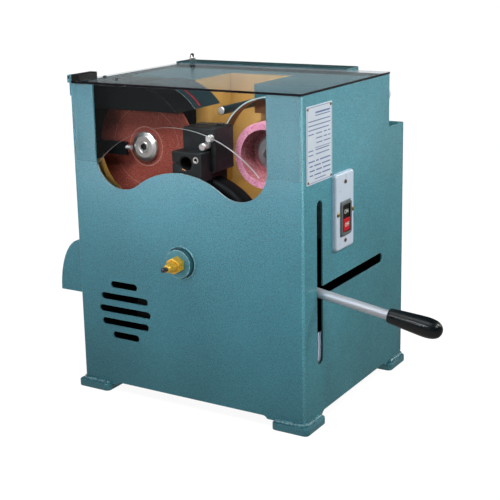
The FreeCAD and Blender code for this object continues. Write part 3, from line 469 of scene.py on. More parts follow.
def soft(profile, r, seg=4):
    """Rounds the inner corners of an open line of (a, b) points."""
    out = [profile[0]]
    for p, q, s in zip(profile, profile[1:], profile[2:]):
        p, q, s = Vector(p), Vector(q), Vector(s)
        la, lb = (p - q).length, (s - q).length
        ta, tb = min(r, 0.48 * la) / la, min(r, 0.48 * lb) / lb
        a, b = q.lerp(p, ta), q.lerp(s, tb)
        for k in range(seg + 1):
            t = k / seg
            out.append(tuple(a * (1 - t) ** 2 + q * 2 * t * (1 - t) + b * t * t))
    return out + [profile[-1]]


AXES = {
    "X": (Vector((0, 1, 0)), Vector((0, 0, 1)), Vector((1, 0, 0))),
    "Y": (Vector((1, 0, 0)), Vector((0, 0, 1)), Vector((0, 1, 0))),
    "Z": (Vector((1, 0, 0)), Vector((0, 1, 0)), Vector((0, 0, 1))),
}


def lathe(bm, profile, centre, axis="Y", n=96, a0=0.0, a1=360.0, mats=None, close=False, shape=None):
    """Turns (radius, distance) points about an axis. mats gives each stretch's material index.
    close joins the last point to the first; shape(angle, radius, distance) may change a radius."""
    u, v, w = AXES[axis] if isinstance(axis, str) else axis
    c = Vector(centre)
    full = abs(a1 - a0) > 359.9
    m = n if full else n + 1
    rings = []
    for r, d in profile:
        if r < 1e-6:
            rings.append([bm.verts.new(c + w * d)])
            continue
        ring = []
        for k in range(m):
            t = math.radians(a0 + (a1 - a0) * k / n)
            q = shape(t, r, d) if shape else r
            ring.append(bm.verts.new(c + u * (q * math.cos(t)) + v * (q * math.sin(t)) + w * d))
        rings.append(ring)
    pairs = list(zip(rings, rings[1:]))
    if close:
        pairs.append((rings[-1], rings[0]))
    for i, (a, b) in enumerate(pairs):
        for k in range(n if full else m - 1):
            j = (k + 1) % m
            if len(a) == 1 and len(b) == 1:
                continue
            if len(a) == 1:
                f = bm.faces.new((a[0], b[j], b[k]))
            elif len(b) == 1:
                f = bm.faces.new((a[k], a[j], b[0]))
            else:
                f = bm.faces.new((a[k], a[j], b[j], b[k]))
            if mats:
                f.material_index = mats[min(i, len(mats) - 1)]
    if not full and close:
        for k in (0, m - 1):
            bm.faces.new([r[k] for r in rings])
    return rings


def brick(bm, lo, hi, r=0.0, seg=3, mat=0):
    """A block with rounded edges."""
    part = bmesh.new()
    bmesh.ops.create_cube(part, size=1.0)
    lo, hi = Vector(lo), Vector(hi)
    for v in part.verts:
        v.co = Vector([lo[i] + (v.co[i] + 0.5) * (hi[i] - lo[i]) for i in range(3)])
    if r:
        bmesh.ops.bevel(part, geom=part.edges[:], offset=r, segments=seg, profile=0.5, affect="EDGES", clamp_overlap=True)
    for f in part.faces:
        f.material_index = mat
    join(bm, part)


def join(bm, part):
    part.verts.index_update()
    new = [bm.verts.new(v.co) for v in part.verts]
    for f in part.faces:
        g = bm.faces.new([new[v.index] for v in f.verts])
        g.material_index = f.material_index
    part.free()


def slab(bm, outline, y0, y1, face=0, rim=1):
    """A flat sheet with its outline in x and z."""
    a = [bm.verts.new((x, y0, z)) for x, z in outline]
    b = [bm.verts.new((x, y1, z)) for x, z in outline]
    bm.faces.new(a).material_index = face
    bm.faces.new(list(reversed(b))).material_index = face
    for k in range(len(a)):
        j = (k + 1) % len(a)
        bm.faces.new((a[j], a[k], b[k], b[j])).material_index = rim


def tube(bm, path, radius, n=14, ends=True, lump=None):
    """A round bar along a line of points; lump(i) scales the radius at point i."""
    rings = []
    for i, p in enumerate(path):
        p = Vector(p)
        t = (Vector(path[min(i + 1, len(path) - 1)]) - Vector(path[max(i - 1, 0)])).normalized()
        side = t.cross(Vector((0, 0, 1))).normalized()
        up = side.cross(t)
        r = radius * (lump(i) if lump else 1.0)
        rings.append([bm.verts.new(p + side * (r * math.cos(2 * math.pi * k / n)) + up * (r * math.sin(2 * math.pi * k / n)))
                      for k in range(n)])
    for a, b in zip(rings, rings[1:]):
        for k in range(n):
            bm.faces.new((a[k], a[(k + 1) % n], b[(k + 1) % n], b[k]))
    if ends:
        for ring in (rings[0], rings[-1]):
            bm.faces.new(ring)


def wave(i, seed):
    """A repeatable uneven number between -1 and 1."""
    return math.sin(i * 12.9898 + seed * 78.233) * 0.6 + math.sin(i * 4.1414 + seed * 3.7) * 0.4


def slotted_head(bm, centre, axis, r, high, turn, gap=0.9, deep=1.1, mats=(0, 1)):
    """A domed screw head with a driver slot cut across it."""
    u, v, w = AXES[axis]
    c = Vector(centre)
    # the slot's floor takes the second, darker finish: painted shade in the slot
    lathe(bm, [(0, 0), (r, 0), (r, high - deep), (0, high - deep)], centre, axis, 40, mats=[mats[0], mats[0], mats[1]])
    across = u * math.cos(turn) + v * math.sin(turn)
    for sign in (1, -1):
        part = bmesh.new()
        lathe(part, soft([(0, high - deep - 0.05), (r, high - deep - 0.05), (r, high * 0.5), (r * 0.62, high * 0.9), (0, high)], 0.5),
              centre, axis, 40)
        bmesh.ops.remove_doubles(part, verts=part.verts, dist=1e-4)
        cutp = bmesh.ops.bisect_plane(part, geom=part.verts[:] + part.edges[:] + part.faces[:], dist=1e-4,
                                      plane_co=c + across * (sign * gap / 2), plane_no=across * sign, clear_inner=True)
        edges = [e for e in cutp["geom_cut"] if isinstance(e, bmesh.types.BMEdge)]
        bmesh.ops.edgeloop_fill(part, edges=edges)
        for f in part.faces:
            f.material_index = mats[0]
        join(bm, part)


# ------------------------------------------------------------------ cabinet


def front_face(c, n):
    # the panel's inner face gets the near-black primer, darkened as painted shade
    if n.y > 0.7 and c.y < 8 and 5 < c.x < 395:
        return 1
    # up-facing cut edges of the window get the pale rim teal as a painted highlight
    if c.z > 318 and 20 < c.x < 380 and c.y < 3.2 and n.z > 0.25 and abs(n.y) < 0.92:
        return 2
    # the front right bend gets the lighter teal as a painted highlight
    if c.y < 12 and n.y < -0.15 and 0.25 < abs(n.x) < 0.96 and not 12 < c.x < 388:
        return 3
    return 0


refined("front_panel", 0.9, mats=["teal_paint", "dark_primer_and_shade", "teal_rim_painted_highlight", "teal_bend_painted_highlight"], pick=front_face)
# the left panel's inner face gets the near-black primer, darkened as painted shade
refined("left_side", 0.7, mats=["teal_paint", "dark_primer_and_shade"], pick=lambda c, n: 1 if n.x > 0.7 else 0)


def right_face(c, n):
    # the right panel's inner face gets the near-black primer, darkened as painted shade
    if n.x < -0.7:
        return 1
    # the slots' inner faces get the darker teal as painted shade
    if abs(n.x) < 0.5 and 30 < c.y < 300 and 25 < c.z < 330:
        return 2
    return 0


refined("right_side", 0.7, mats=["teal_paint", "dark_primer_and_shade", "teal_side_painted_shade"], pick=right_face)
refined("discharge_hood", 0.7)
refined("rear_cover_upper", 1.2, mats=["teal_paint", "teal_top_painted_shade"], pick=lambda c, n: 1 if n.z > 0.6 and c.z > 480 else 0)
refined("rear_cover_lower", 1.2)
# the deck apron below 458 mm gets the brown film, partly painted shade
refined("top_deck", 0.8, mats=["teal_paint", "brown_film_and_shade"],
        pick=lambda c, n: 1 if n.y < -0.5 and c.z < 458 else 0, splits=[((0, 0, 458), (0, 0, 1))])
refined("hinge_knuckles", 0.5)


def ripple(t, r, d):
    """Unevenness of the bead around the boss."""
    return r + (0.22 * math.sin(17 * t + 1) + 0.18 * math.sin(29 * t) + 0.12 * math.sin(47 * t + 2) if r > 23.2 and d < -0.3 else 0.0)


# the boss: its face rim and bead crest in pale teal as a painted highlight, its side wall and groove in darker teal as
# painted shade
bm = bmesh.new()
lathe(bm, [(0, -10), (14, -10), (20.9, -10), (21.5, -9.8), (21.7, -9.2), (21.7, -4), (21.6, -0.5), (22.9, -0.5), (23.3, -1.7),
           (24.2, -2.5), (25.0, -2.5), (25.8, -1.8), (26.2, -0.8), (26.2, 0)],
      (195, 0, 229), "Y", 160, mats=[0, 0, 3, 3, 1, 1, 1, 1, 2, 2, 3, 2, 2], shape=ripple)
piece("boss", bm, ["teal_paint", "teal_side_painted_shade", "teal_bead_painted_highlight", "teal_crest_painted_highlight"], "cabinet", ("pivot_boss",), 40)


def liner_face(c, n):
    # upper left walls of the chamber in black paint: painted shade under the guard
    if c.z > 361 and c.x < 127 and (n.y < -0.5 or n.x > 0.5):
        return 2
    # front-facing faces at the lower right rear, and the faces not listed below, get the near-black primer, darkened as
    # painted shade
    if n.y < -0.5 and c.x > 300 and c.y > 140 and c.z < 336:
        return 1
    if n.y < -0.5 or n.z > 0.5 or (n.x > 0.5 and c.x < 200) or (n.x < -0.5 and 245 < c.x < 251):
        return 0
    return 1


refined("chamber_liner", 0.3, 2, mats=["yellow_paint", "dark_primer_and_shade", "black_paint"], pick=liner_face,
        splits=[((300, 0, 0), (1, 0, 0)), ((0, 0, 336), (0, 0, 1)), ((127, 0, 0), (1, 0, 0)), ((0, 0, 361), (0, 0, 1))])


def make_feet():
    """Corner pads with rounded upright corners, and the bead that joins each one to the cabinet."""
    bm, beads = bmesh.new(), bmesh.new()
    for x0, y0, cx, cy in ((-8, -8, 0, 0), (348, -8, 400, 0), (-8, 281, 0, 340), (348, 281, 400, 340)):
        part = bmesh.new()
        bmesh.ops.create_cube(part, size=1.0)
        for v in part.verts:
            v.co = Vector((x0 + 30 + v.co.x * 60, y0 + 30 + v.co.y * 60, 5.5 + v.co.z * 11))
        tall = [e for e in part.edges if abs(e.verts[0].co.z - e.verts[1].co.z) > 1]
        bmesh.ops.bevel(part, geom=tall, offset=7, segments=8, profile=0.5, affect="EDGES")
        rim = [e for e in part.edges if abs(e.verts[0].co.z - e.verts[1].co.z) < 1e-6 and e.calc_face_angle(0) > 1]
        bmesh.ops.bevel(part, geom=rim, offset=1.3, segments=3, profile=0.5, affect="EDGES")
        join(bm, part)
        # the bead follows the cabinet's outline over the pad
        sx, sy = (1 if cx else -1), (1 if cy else -1)
        long = 49.0
        off = -1.4 if cy else 1.3
        path = []
        for k in range(23):
            path.append((cx - sx * (long - (long - 5.5) * k / 22), cy + sy * off, 12.3))
        for k in range(1, 6):
            t = math.radians(90 * k / 6)
            path.append((cx - sx * 5.5 + sx * 6.8 * math.sin(t), cy - sy * 5.5 + sy * (5.5 + off) * math.cos(t), 12.3))
        for k in range(23):
            path.append((cx + sx * 1.3, cy - sy * (5.5 + (long - 5.5) * k / 22), 12.3))
        tube(beads, path, 3.3, 14, True, lambda i, s=cx + cy: (0.55 if i in (0, len(path) - 1) else 1.0) * (1 + 0.13 * wave(i, s)))
    piece("corner_pads", bm, ["teal_pad_edge_highlight"], "cabinet", ("feet",), 50)
    o = piece("pad_beads", beads, ["pad_bead_painted_highlight"], "cabinet", (), 80, False)
    m = o.modifiers.new("smooth", "SUBSURF")
    m.levels = m.render_levels = 1


make_feet()

# ------------------------------------------------------------------ lid
bm = bmesh.new()
brick(bm, (8.5, -6, 486.3), (401, 283, 489.8), 0.5, 2)
for f in bm.faces:
    f.normal_update()
    f.material_index = 2 if f.normal.y > 0.2 else (0 if abs(f.normal.z) > 0.9 or f.normal.x < -0.2 else 1)
piece("lid_sheet", bm, ["smoked_acrylic", "smoked_edge", "clear_side"], "lid", ("lid_top",))

arch = []
half = math.acos(131.5 / 192.5)
for k in range(65):
    t = -half + 2 * half * k / 64
    arch.append((193.5 + 192.5 * math.sin(t), 238 + 192.5 * math.cos(t)))
bm = bmesh.new()
slab(bm, [(10.8, 369.5)] + arch + [(398.5, 369.5), (398.5, 486.2), (10.8, 486.2)], -6, -2.5)
for f in bm.faces:
    c = f.calc_center_median()
    if f.material_index == 1 and (c.x < 11 or c.x > 398 or c.z < 369.8 or c.z > 486):
        f.material_index = 2
piece("lid_front_sheet", bm, ["clear_acrylic", "clear_edge", "clear_side"], "lid", ("lid_flap",), 30, False)

refined("hinge_blocks", 0.5, mats=["black_satin"])
bm = bmesh.new()
for k, (x, y) in enumerate(((23.4, 57.2), (62, 36.9))):
    slotted_head(bm, (x, y, 489.8), "Z", 3.4, 2.2, 0.5 + k)
piece("hinge_screw_heads", bm, ["steel", "dark_steel"], "lid", ("hinge_screws",))
bm = bmesh.new()
lathe(bm, soft([(0, -0.5), (2.0, -0.5), (2.2, 0.6), (0, 0.6)], 0.2), (-1.2, 0.45, 494.3), "Y", 40)
piece("hinge_pin_end", bm, ["dark_steel"], "cabinet")
bm = bmesh.new()
lathe(bm, soft([(0, 0), (5.4, 0), (5.4, 5.6), (4.6, 6.6), (4.3, 8.4), (3.7, 10.6), (2.4, 12.7), (0, 13.5)], 0.8),
      (23.5, 300, 491), "Z", 64, mats=[0] * 22 + [1] * 40)
piece("lid_stud", bm, ["polished", "black_satin"], "cabinet", ("lid_stop_stud",), 50)

# ------------------------------------------------------------------ pivot nipple
HEX = math.radians(30)


def six(t, flats):
    """Radius of a hexagon in the direction t."""
    a = (t + HEX) % (math.pi / 3) - math.pi / 6
    return flats / 2 / math.cos(a)


def nut(t, r, d):
    return min(six(t, 22.0), r) if r > 8.2 else r


bm = bmesh.new()
lathe(bm, [(13, -10), (13, -21.0), (12.4, -22.0), (11.4, -22.8), (10.5, -23.0), (9.4, -23.0), (9.2, -22.6), (9.2, -21.6),
           (8.1, -21.6), (7.9, -22.2), (7.7, -24), (7.6, -27), (7.3, -31), (6.5, -35.4), (5.6, -37.6), (5.1, -38.4), (4.4, -38.9), (3.6, -39.0)],
      (195, 0, 229), "Y", 96, shape=nut)
part = bmesh.new()
lathe(part, soft([(3.5, -38.8), (3.5, -41), (2.5, -42.2), (2.5, -43.6), (3.4, -45), (3.5, -46.6), (2.9, -48.2), (1.4, -49), (0, -49)], 0.5),
      (195, 0, 229), "Y", 48)
for f in part.faces:
    f.material_index = 1
join(bm, part)
piece("nipple", bm, ["brass", "dark_steel"], "cabinet", ("grease_nipple",), 28, False)

# ------------------------------------------------------------------ lever, clamp and drum
la = math.radians(8.5)
along = Vector((math.cos(la), 0, -math.sin(la)))
lever = (Vector((0, 1, 0)), Vector((math.sin(la), 0, math.cos(la))), along)
start = Vector((195, 47.75, 229))
bm = bmesh.new()
lathe(bm, soft([(0, 30), (7, 30), (7, 355), (0, 355)], 0.8), start, lever, 64)
piece("lever_bar", bm, ["chrome"], "arm", ("lever_rod",))
bm = bmesh.new()
lathe(bm, [(7.03, 316)] + soft([(9.2, 316), (10.1, 316.2), (10.7, 317.6), (11.3, 325), (12.6, 343), (13.9, 363), (14.3, 372),
      (13.8, 380), (12.2, 386.6), (9.2, 391.4), (5.0, 394.2), (0, 395)], 4.0, 6), start, lever, 80)
piece("lever_handle", bm, ["black_gloss_plastic"], "arm", ("lever_grip",), 60)

refined("swing_arm", 1.0)
refined("clamp_block", 0.9)
refined("clamp_jaw", 0.9, seg=3)
refined("coolant_bar", 0.6, mats=["black_paint", "zinc"], pick=lambda c, n: 1 if c.x > 72.5 else 0)

bm = bmesh.new()
ring = soft([(98, 37), (112, 34.6), (122, 34), (128, 40), (128, 60)], 7, 6) + [(124, 60), (124, 45), (118, 40), (98, 41)]
lathe(bm, ring, (195, 0, 229), "Y", 72, 14.0, 75.0, close=True)
piece("splash_drum", bm, ["drum_black"], "arm", ("splash_sector",), 40)

bm = bmesh.new()
lathe(bm, soft([(10, 44), (10, 0.4), (10.4, 0), (11.6, 0), (11.6, 44)], 0.3), (204, 7, 377), "Y", 72, mats=[0] * 7 + [1] * 40)
lathe(bm, [(10, 0), (11.6, 0), (11.6, 18), (10, 18)], (204, 64, 377), "Y", 72, close=True)
# only the lower front of each bore keeps copper; the rest of the bore is black iron as painted shade
for f in bm.faces:
    c = f.calc_center_median()
    if f.material_index == 0 and (c.z > 369.2 or c.y > 14):
        f.material_index = 1
piece("bushes", bm, ["copper", "black_iron"], "arm", ("work_bushes",))

refined("clamp_screw", 0.3, mats=["dark_steel", "bright_steel"], pick=lambda c, n: 1 if n.y < -0.7 and c.y < 6.9 else 0)


def make_pins():
    bm = bmesh.new()
    # the lower pin is knurled behind its bright end
    def knurl(t, r, d):
        return r - (0.28 if -12.5 < d < -1.5 and int(t / math.radians(7.5)) % 2 else 0.0)
    lathe(bm, [(0, -16), (4.7, -16), (5.4, -15.4), (5.6, -14.6), (5.6, -12.6), (5.6, -12.4), (5.6, -1.6), (5.6, 0)],
          (226.5, 32, 401.5), "Y", 96, mats=[0, 0, 0, 0, 1, 1, 1], shape=knurl)
    # the upper one is a short hexagon with a round washer under it
    def flats(t, r, d):
        return min(six(t, 9.7), r) if d < -1.5 else r
    lathe(bm, [(0, -8), (4.3, -8), (5.5, -7.2), (5.6, -1.6), (5.6, -1.4), (5.6, 0)], (232.5, 32, 412.5), "Y", 96, shape=flats)
    piece("pin_heads", bm, ["bright_steel", "zinc"], "arm", ("clamp_pins",), 30, False)


make_pins()
bm = bmesh.new()
lathe(bm, soft([(0, 0), (6, 0), (6, 3.2), (2.6, 3.2), (2.6, 1.2), (0, 1.2)], 0.4), (229, 64, 427), "Z", 48)
piece("block_top_screw", bm, ["dark_steel"], "arm")

bm = bmesh.new()
lathe(bm, soft([(0, 100), (5.4, 100), (6.3, 100.9), (6.3, 256), (0, 256)], 0.6), (207, 0, 442), "Y", 64, mats=[0] * 6 + [1] * 30)
piece("dressing_rod", bm, ["bright_steel", "dark_teal_paint"], "cabinet", ("stop_rod",))

# ------------------------------------------------------------------ guards and shroud
refined("disc_guard_front", 0.9, mats=["black_paint"])
refined("disc_guard_rear", 0.8, mats=["dark_teal_paint", "guard_lip_painted_highlight"],
        pick=lambda c, n: 1 if c.y < 82.2 and n.y < -0.3 else 0)
bm = bmesh.new()
edge = [(98 - 95.2 * math.cos(math.radians(37.6 + 42 * k / 24)), 387 + 95.2 * math.sin(math.radians(37.6 + 42 * k / 24))) for k in range(25)]
slab(bm, [(5.4, 445.2)] + [(x, z) for x, z in edge if z < 479] + [(edge[-1][0] if edge[-1][1] < 479 else 88, 479), (5.4, 479)], 32.4, 34.6, 0, 0)
brick(bm, (5.4, 34.6, 477.4), (74.4, 150, 479.4), 0.4, 2)
piece("guard_side_plate", bm, ["black_paint"], "cabinet", (), 40, False)
bm = bmesh.new()
ring = [(95.02, 96), (95.3, 96), (95.3, 100), (95.02, 100)]
lathe(bm, ring, (98, 0, 387), "Y", 40, 40, 66, close=True)
piece("guard_stripe", bm, ["red_line"], "cabinet")
refined("cup_shroud", 0.7, mats=["teal_paint", "brown_film_and_shade", "shroud_lip_painted_highlight"],
        pick=lambda c, n: 2 if n.y < -0.3 else (1 if (Vector((289, 0, 380)) - Vector((c.x, 0, c.z))).dot(n) > 0.2 else 0))

# ------------------------------------------------------------------ wheels
bm = bmesh.new()
lathe(bm, soft([(8.05, 0), (29, 0), (30, 0.0), (31, 0), (60, 0), (60.8, 0), (87, 0), (87.5, 0.5), (87.5, 3), (8.05, 3)], 0.2, 2),
      (98, 56.5, 387), "Y", 160, close=True)
for f in bm.faces:
    c = f.calc_center_median()
    r = math.hypot(c.x - 98, c.z - 387)
    if c.y < 56.6 and (29 < r < 31 or 60 < r < 60.8):
        f.material_index = 1
piece("grinding_disc", bm, ["red_abrasive", "pale_red"], "disc_rotor", ("cut_off_disc",))
bm = bmesh.new()
lathe(bm, soft([(5.05, 4.4), (8.4, 4.4), (8.4, 0.6), (9.2, 0), (16.5, 0), (22.6, 2.6), (23.5, 4.2), (23.5, 7.4), (8.1, 7.4), (8.1, 6.4), (5.05, 6.4)], 0.8),
      (98, 49, 387), "Y", 128, close=True)
lathe(bm, [(8.03, 0), (23.5, 0), (23.5, 4), (18, 6.4), (8.03, 6.4)], (98, 59.6, 387), "Y", 96, close=True)
piece("hub_flanges", bm, ["disc_steel"], "disc_rotor", ("disc_flanges",), 45)
# the bolt's socket is dark steel: painted shade in the hole
refined("disc_bolt", 0.25, mats=["disc_steel", "dark_steel"],
        pick=lambda c, n: 1 if math.hypot(c.x - 98, c.z - 387) < 6.05 and c.y > 49.2 else 0)

bm = bmesh.new()
lathe(bm, soft([(39, 0), (49.2, 0), (50, 0.8), (50, 50), (10.1, 50), (10.1, 34), (37, 34)], 1.0), (287, 88, 381), "Y", 160, close=True)
for f in bm.faces:
    c = f.calc_center_median()
    r = math.hypot(c.x - 287, c.z - 381)
    if r < 38.9 and c.y > 88.6:
        f.material_index = 1
piece("face_wheel", bm, ["pink_abrasive", "cup_recess_pink"], "cup_rotor", ("cup_wheel",))
refined("cup_flange_and_nut", 0.5, mats=["cup_steel"])

# ------------------------------------------------------------------ switch
refined("switch_plate", 0, angle=50)


def rounded(y0, y1, z0, z1, inset, r, x, n=8):
    """A rounded rectangle that faces +x, as a list of points."""
    y0, y1, z0, z1 = y0 + inset, y1 - inset, z0 + inset, z1 - inset
    out = []
    for cy, cz, a in ((y1 - r, z1 - r, 0), (y0 + r, z1 - r, 90), (y0 + r, z0 + r, 180), (y1 - r, z0 + r, 270)):
        for k in range(n + 1):
            t = math.radians(a + 90 * k / n)
            out.append((x, cy + r * math.cos(t), cz + r * math.sin(t)))
    return out


def loops(bm, rings, mats, first=True, last=True):
    """Joins loops of points one after the other, and closes the two ends."""
    made = [[bm.verts.new(p) for p in ring] for ring in rings]
    for i, (p, q) in enumerate(zip(made, made[1:])):
        for k in range(len(p)):
            j = (k + 1) % len(p)
            bm.faces.new((p[k], p[j], q[j], q[k])).material_index = mats[i]
    if first:
        bm.faces.new(made[0])
    if last:
        bm.faces.new(made[-1]).material_index = mats[-1]


bm = bmesh.new()
frame_of = (100.8, 135.2, 269.0, 320.4)
# the opening's inner walls round the keys are black: painted shade in the gap
loops(bm, [rounded(*frame_of, *q) for q in ((4.4, 2.6, 398.2), (4.4, 2.6, 402.0), (0, 6, 402.0), (0, 6, 406.9), (0.25, 5.8, 407.7), (0.8, 5.3, 408.3), (1.6, 4.6, 408.6),
                                           (4.4, 2.6, 408.6), (5.0, 2.2, 408.3), (5.2, 2.0, 407.8), (5.2, 2.0, 398.6))],
      [1, 0, 0, 0, 0, 0, 0, 0, 0, 1, 1])
piece("switch_frame", bm, ["grey_plastic", "black_satin"], "cabinet", ("switch_module",), 40)
for name, node, z0, z1, x, mat, body in (("on_key_cap", "on_button", 295.2, 314.2, 407.6, "key_black", "on_key"),
                                         ("off_key_cap", "off_button", 275.4, 294.4, 408.4, "red_plastic", "off_key")):
    bm = bmesh.new()
    loops(bm, [rounded(108.0, 128.0, z0, z1, *q) for q in ((0, 1.2, x - 5.5), (0, 1.2, x - 0.8), (0.25, 1.1, x - 0.25), (0.9, 0.8, x), (3.2, 0.6, x))],
          [0, 0, 0, 0, 0])
    piece(name, bm, [mat], body, (node,), 40)
bm = bmesh.new()
for k, (y, z) in enumerate(((117.25, 349), (117.25, 261.8), (94.25, 303.5), (140.25, 303.5))):
    slotted_head(bm, (406, y, z), "X", 3.0, 2.2, 0.4 + 0.8 * k)
piece("plate_screw_heads", bm, ["old_brass", "dark_steel"], "cabinet", ("switch_screws",))


def legend(name, text, y, z, x, size, body, stretch=1.0):
    """Raised lettering that faces +x."""
    c = bpy.data.curves.new(name, "FONT")
    c.body, c.size, c.align_x, c.align_y = text, 1.0, "CENTER", "CENTER"
    c.extrude = 0.01
    c.offset = 0.018
    tmp = bpy.data.objects.new(name + "_text", c)
    bpy.context.scene.collection.objects.link(tmp)
    bpy.context.view_layer.update()
    me = bpy.data.meshes.new_from_object(tmp.evaluated_get(bpy.context.evaluated_depsgraph_get()))
    bpy.data.objects.remove(tmp)
    bm = bmesh.new()
    bm.from_mesh(me)
    bpy.data.meshes.remove(me)
    for v in bm.verts:
        v.co = Vector((x + v.co.z * 6, y + v.co.x * size * stretch, z + v.co.y * size))
    bmesh.ops.remove_doubles(bm, verts=bm.verts, dist=0.001)
    piece(name, bm, ["white_legend"], body, (), 30, False)


legend("on_legend", "ON", 118, 304.4, 407.62, 8.2, "on_key")
legend("off_legend", "OFF", 118, 284.8, 408.42, 8.0, "off_key", 0.95)

# ------------------------------------------------------------------ rating plate
refined("rating_plate", 0.25, 2)


def rule(bm, y0, y1, z, w):
    brick(bm, (400.78, y0, z - w / 2), (400.86, y1, z + w / 2))


bm = bmesh.new()
for z in (363.2, 467.8):
    rule(bm, 16, 80, z, 0.7)
for y in (12.2, 83.4):
    brick(bm, (400.78, y - 0.3, 368), (400.86, y + 0.3, 463))
rule(bm, 36, 79, 459.5, 2.2)
rule(bm, 36, 79, 455.5, 1.2)
for z, w, spans in (
    (448.5, 1.3, ((15, 80),)), (442.5, 1.3, ((15, 80),)), (436.5, 1.3, ((15, 76),)),
    (430.5, 1.4, ((15, 31), (37, 55), (60, 70), (73, 80))), (424.0, 1.4, ((38, 56), (60, 70), (73, 80))),
    (417.5, 1.4, ((38, 56), (60, 80))), (411.0, 0.8, ((34, 80),)), (408.0, 1.4, ((15, 29), (36, 77))),
    (402.0, 1.4, ((15, 29), (36, 77))), (393.0, 1.8, ((15, 33), (37, 45), (49, 80))), (386.5, 1.8, ((18, 27), (31, 51), (55, 80))),
    (380.0, 1.8, ((18, 33), (37, 54), (58, 80))), (373.5, 1.8, ((18, 28), (32, 52), (56, 80))), (367.6, 1.2, ((33, 66),)),
):
    for y0, y1 in spans:
        rule(bm, y0, y1, z, w)
piece("rating_rules", bm, ["tag_blue"], "cabinet", (), 30, False)
bm = bmesh.new()
for y in (13.5, 82):
    for z in (365, 466):
        lathe(bm, soft([(0, 0), (2.2, 0), (2.1, 0.6), (0, 1.2)], 0.5), (400.8, y, z), "X", 32)
piece("plate_rivets", bm, ["old_brass"], "cabinet", ("rating_plate_rivets",), 60)

# ------------------------------------------------------------------ rear and inside
refined("cable_gland", 0, angle=50)
bm = bmesh.new()
for x in (9, 391):
    for z in (60, 243, 385):
        slotted_head(bm, (x, 340, z), "Y", 4.5, 3.0, 0.3 + z)
piece("rear_screw_heads", bm, ["steel", "dark_steel"], "cabinet", ("rear_cover_screws",))
bm = bmesh.new()
brick(bm, (387.5, 64, 18.5), (389.5, 74, 132), 0.6)
brick(bm, (376, 64, 18.5), (389.5, 74, 20.5), 0.6)
piece("lever_stop_strip", bm, ["pale_plastic"], "cabinet")

# hidden inner parts in the near-black primer, darkened as painted shade
HIDDEN_PRIMER_AND_SHADE = ("rear_wall", "base_plate")
for n, o in nodes.items():
    o.data.materials.clear()
    o.data.materials.append(M["dark_primer_and_shade" if n in HIDDEN_PRIMER_AND_SHADE else slot_of[n]])


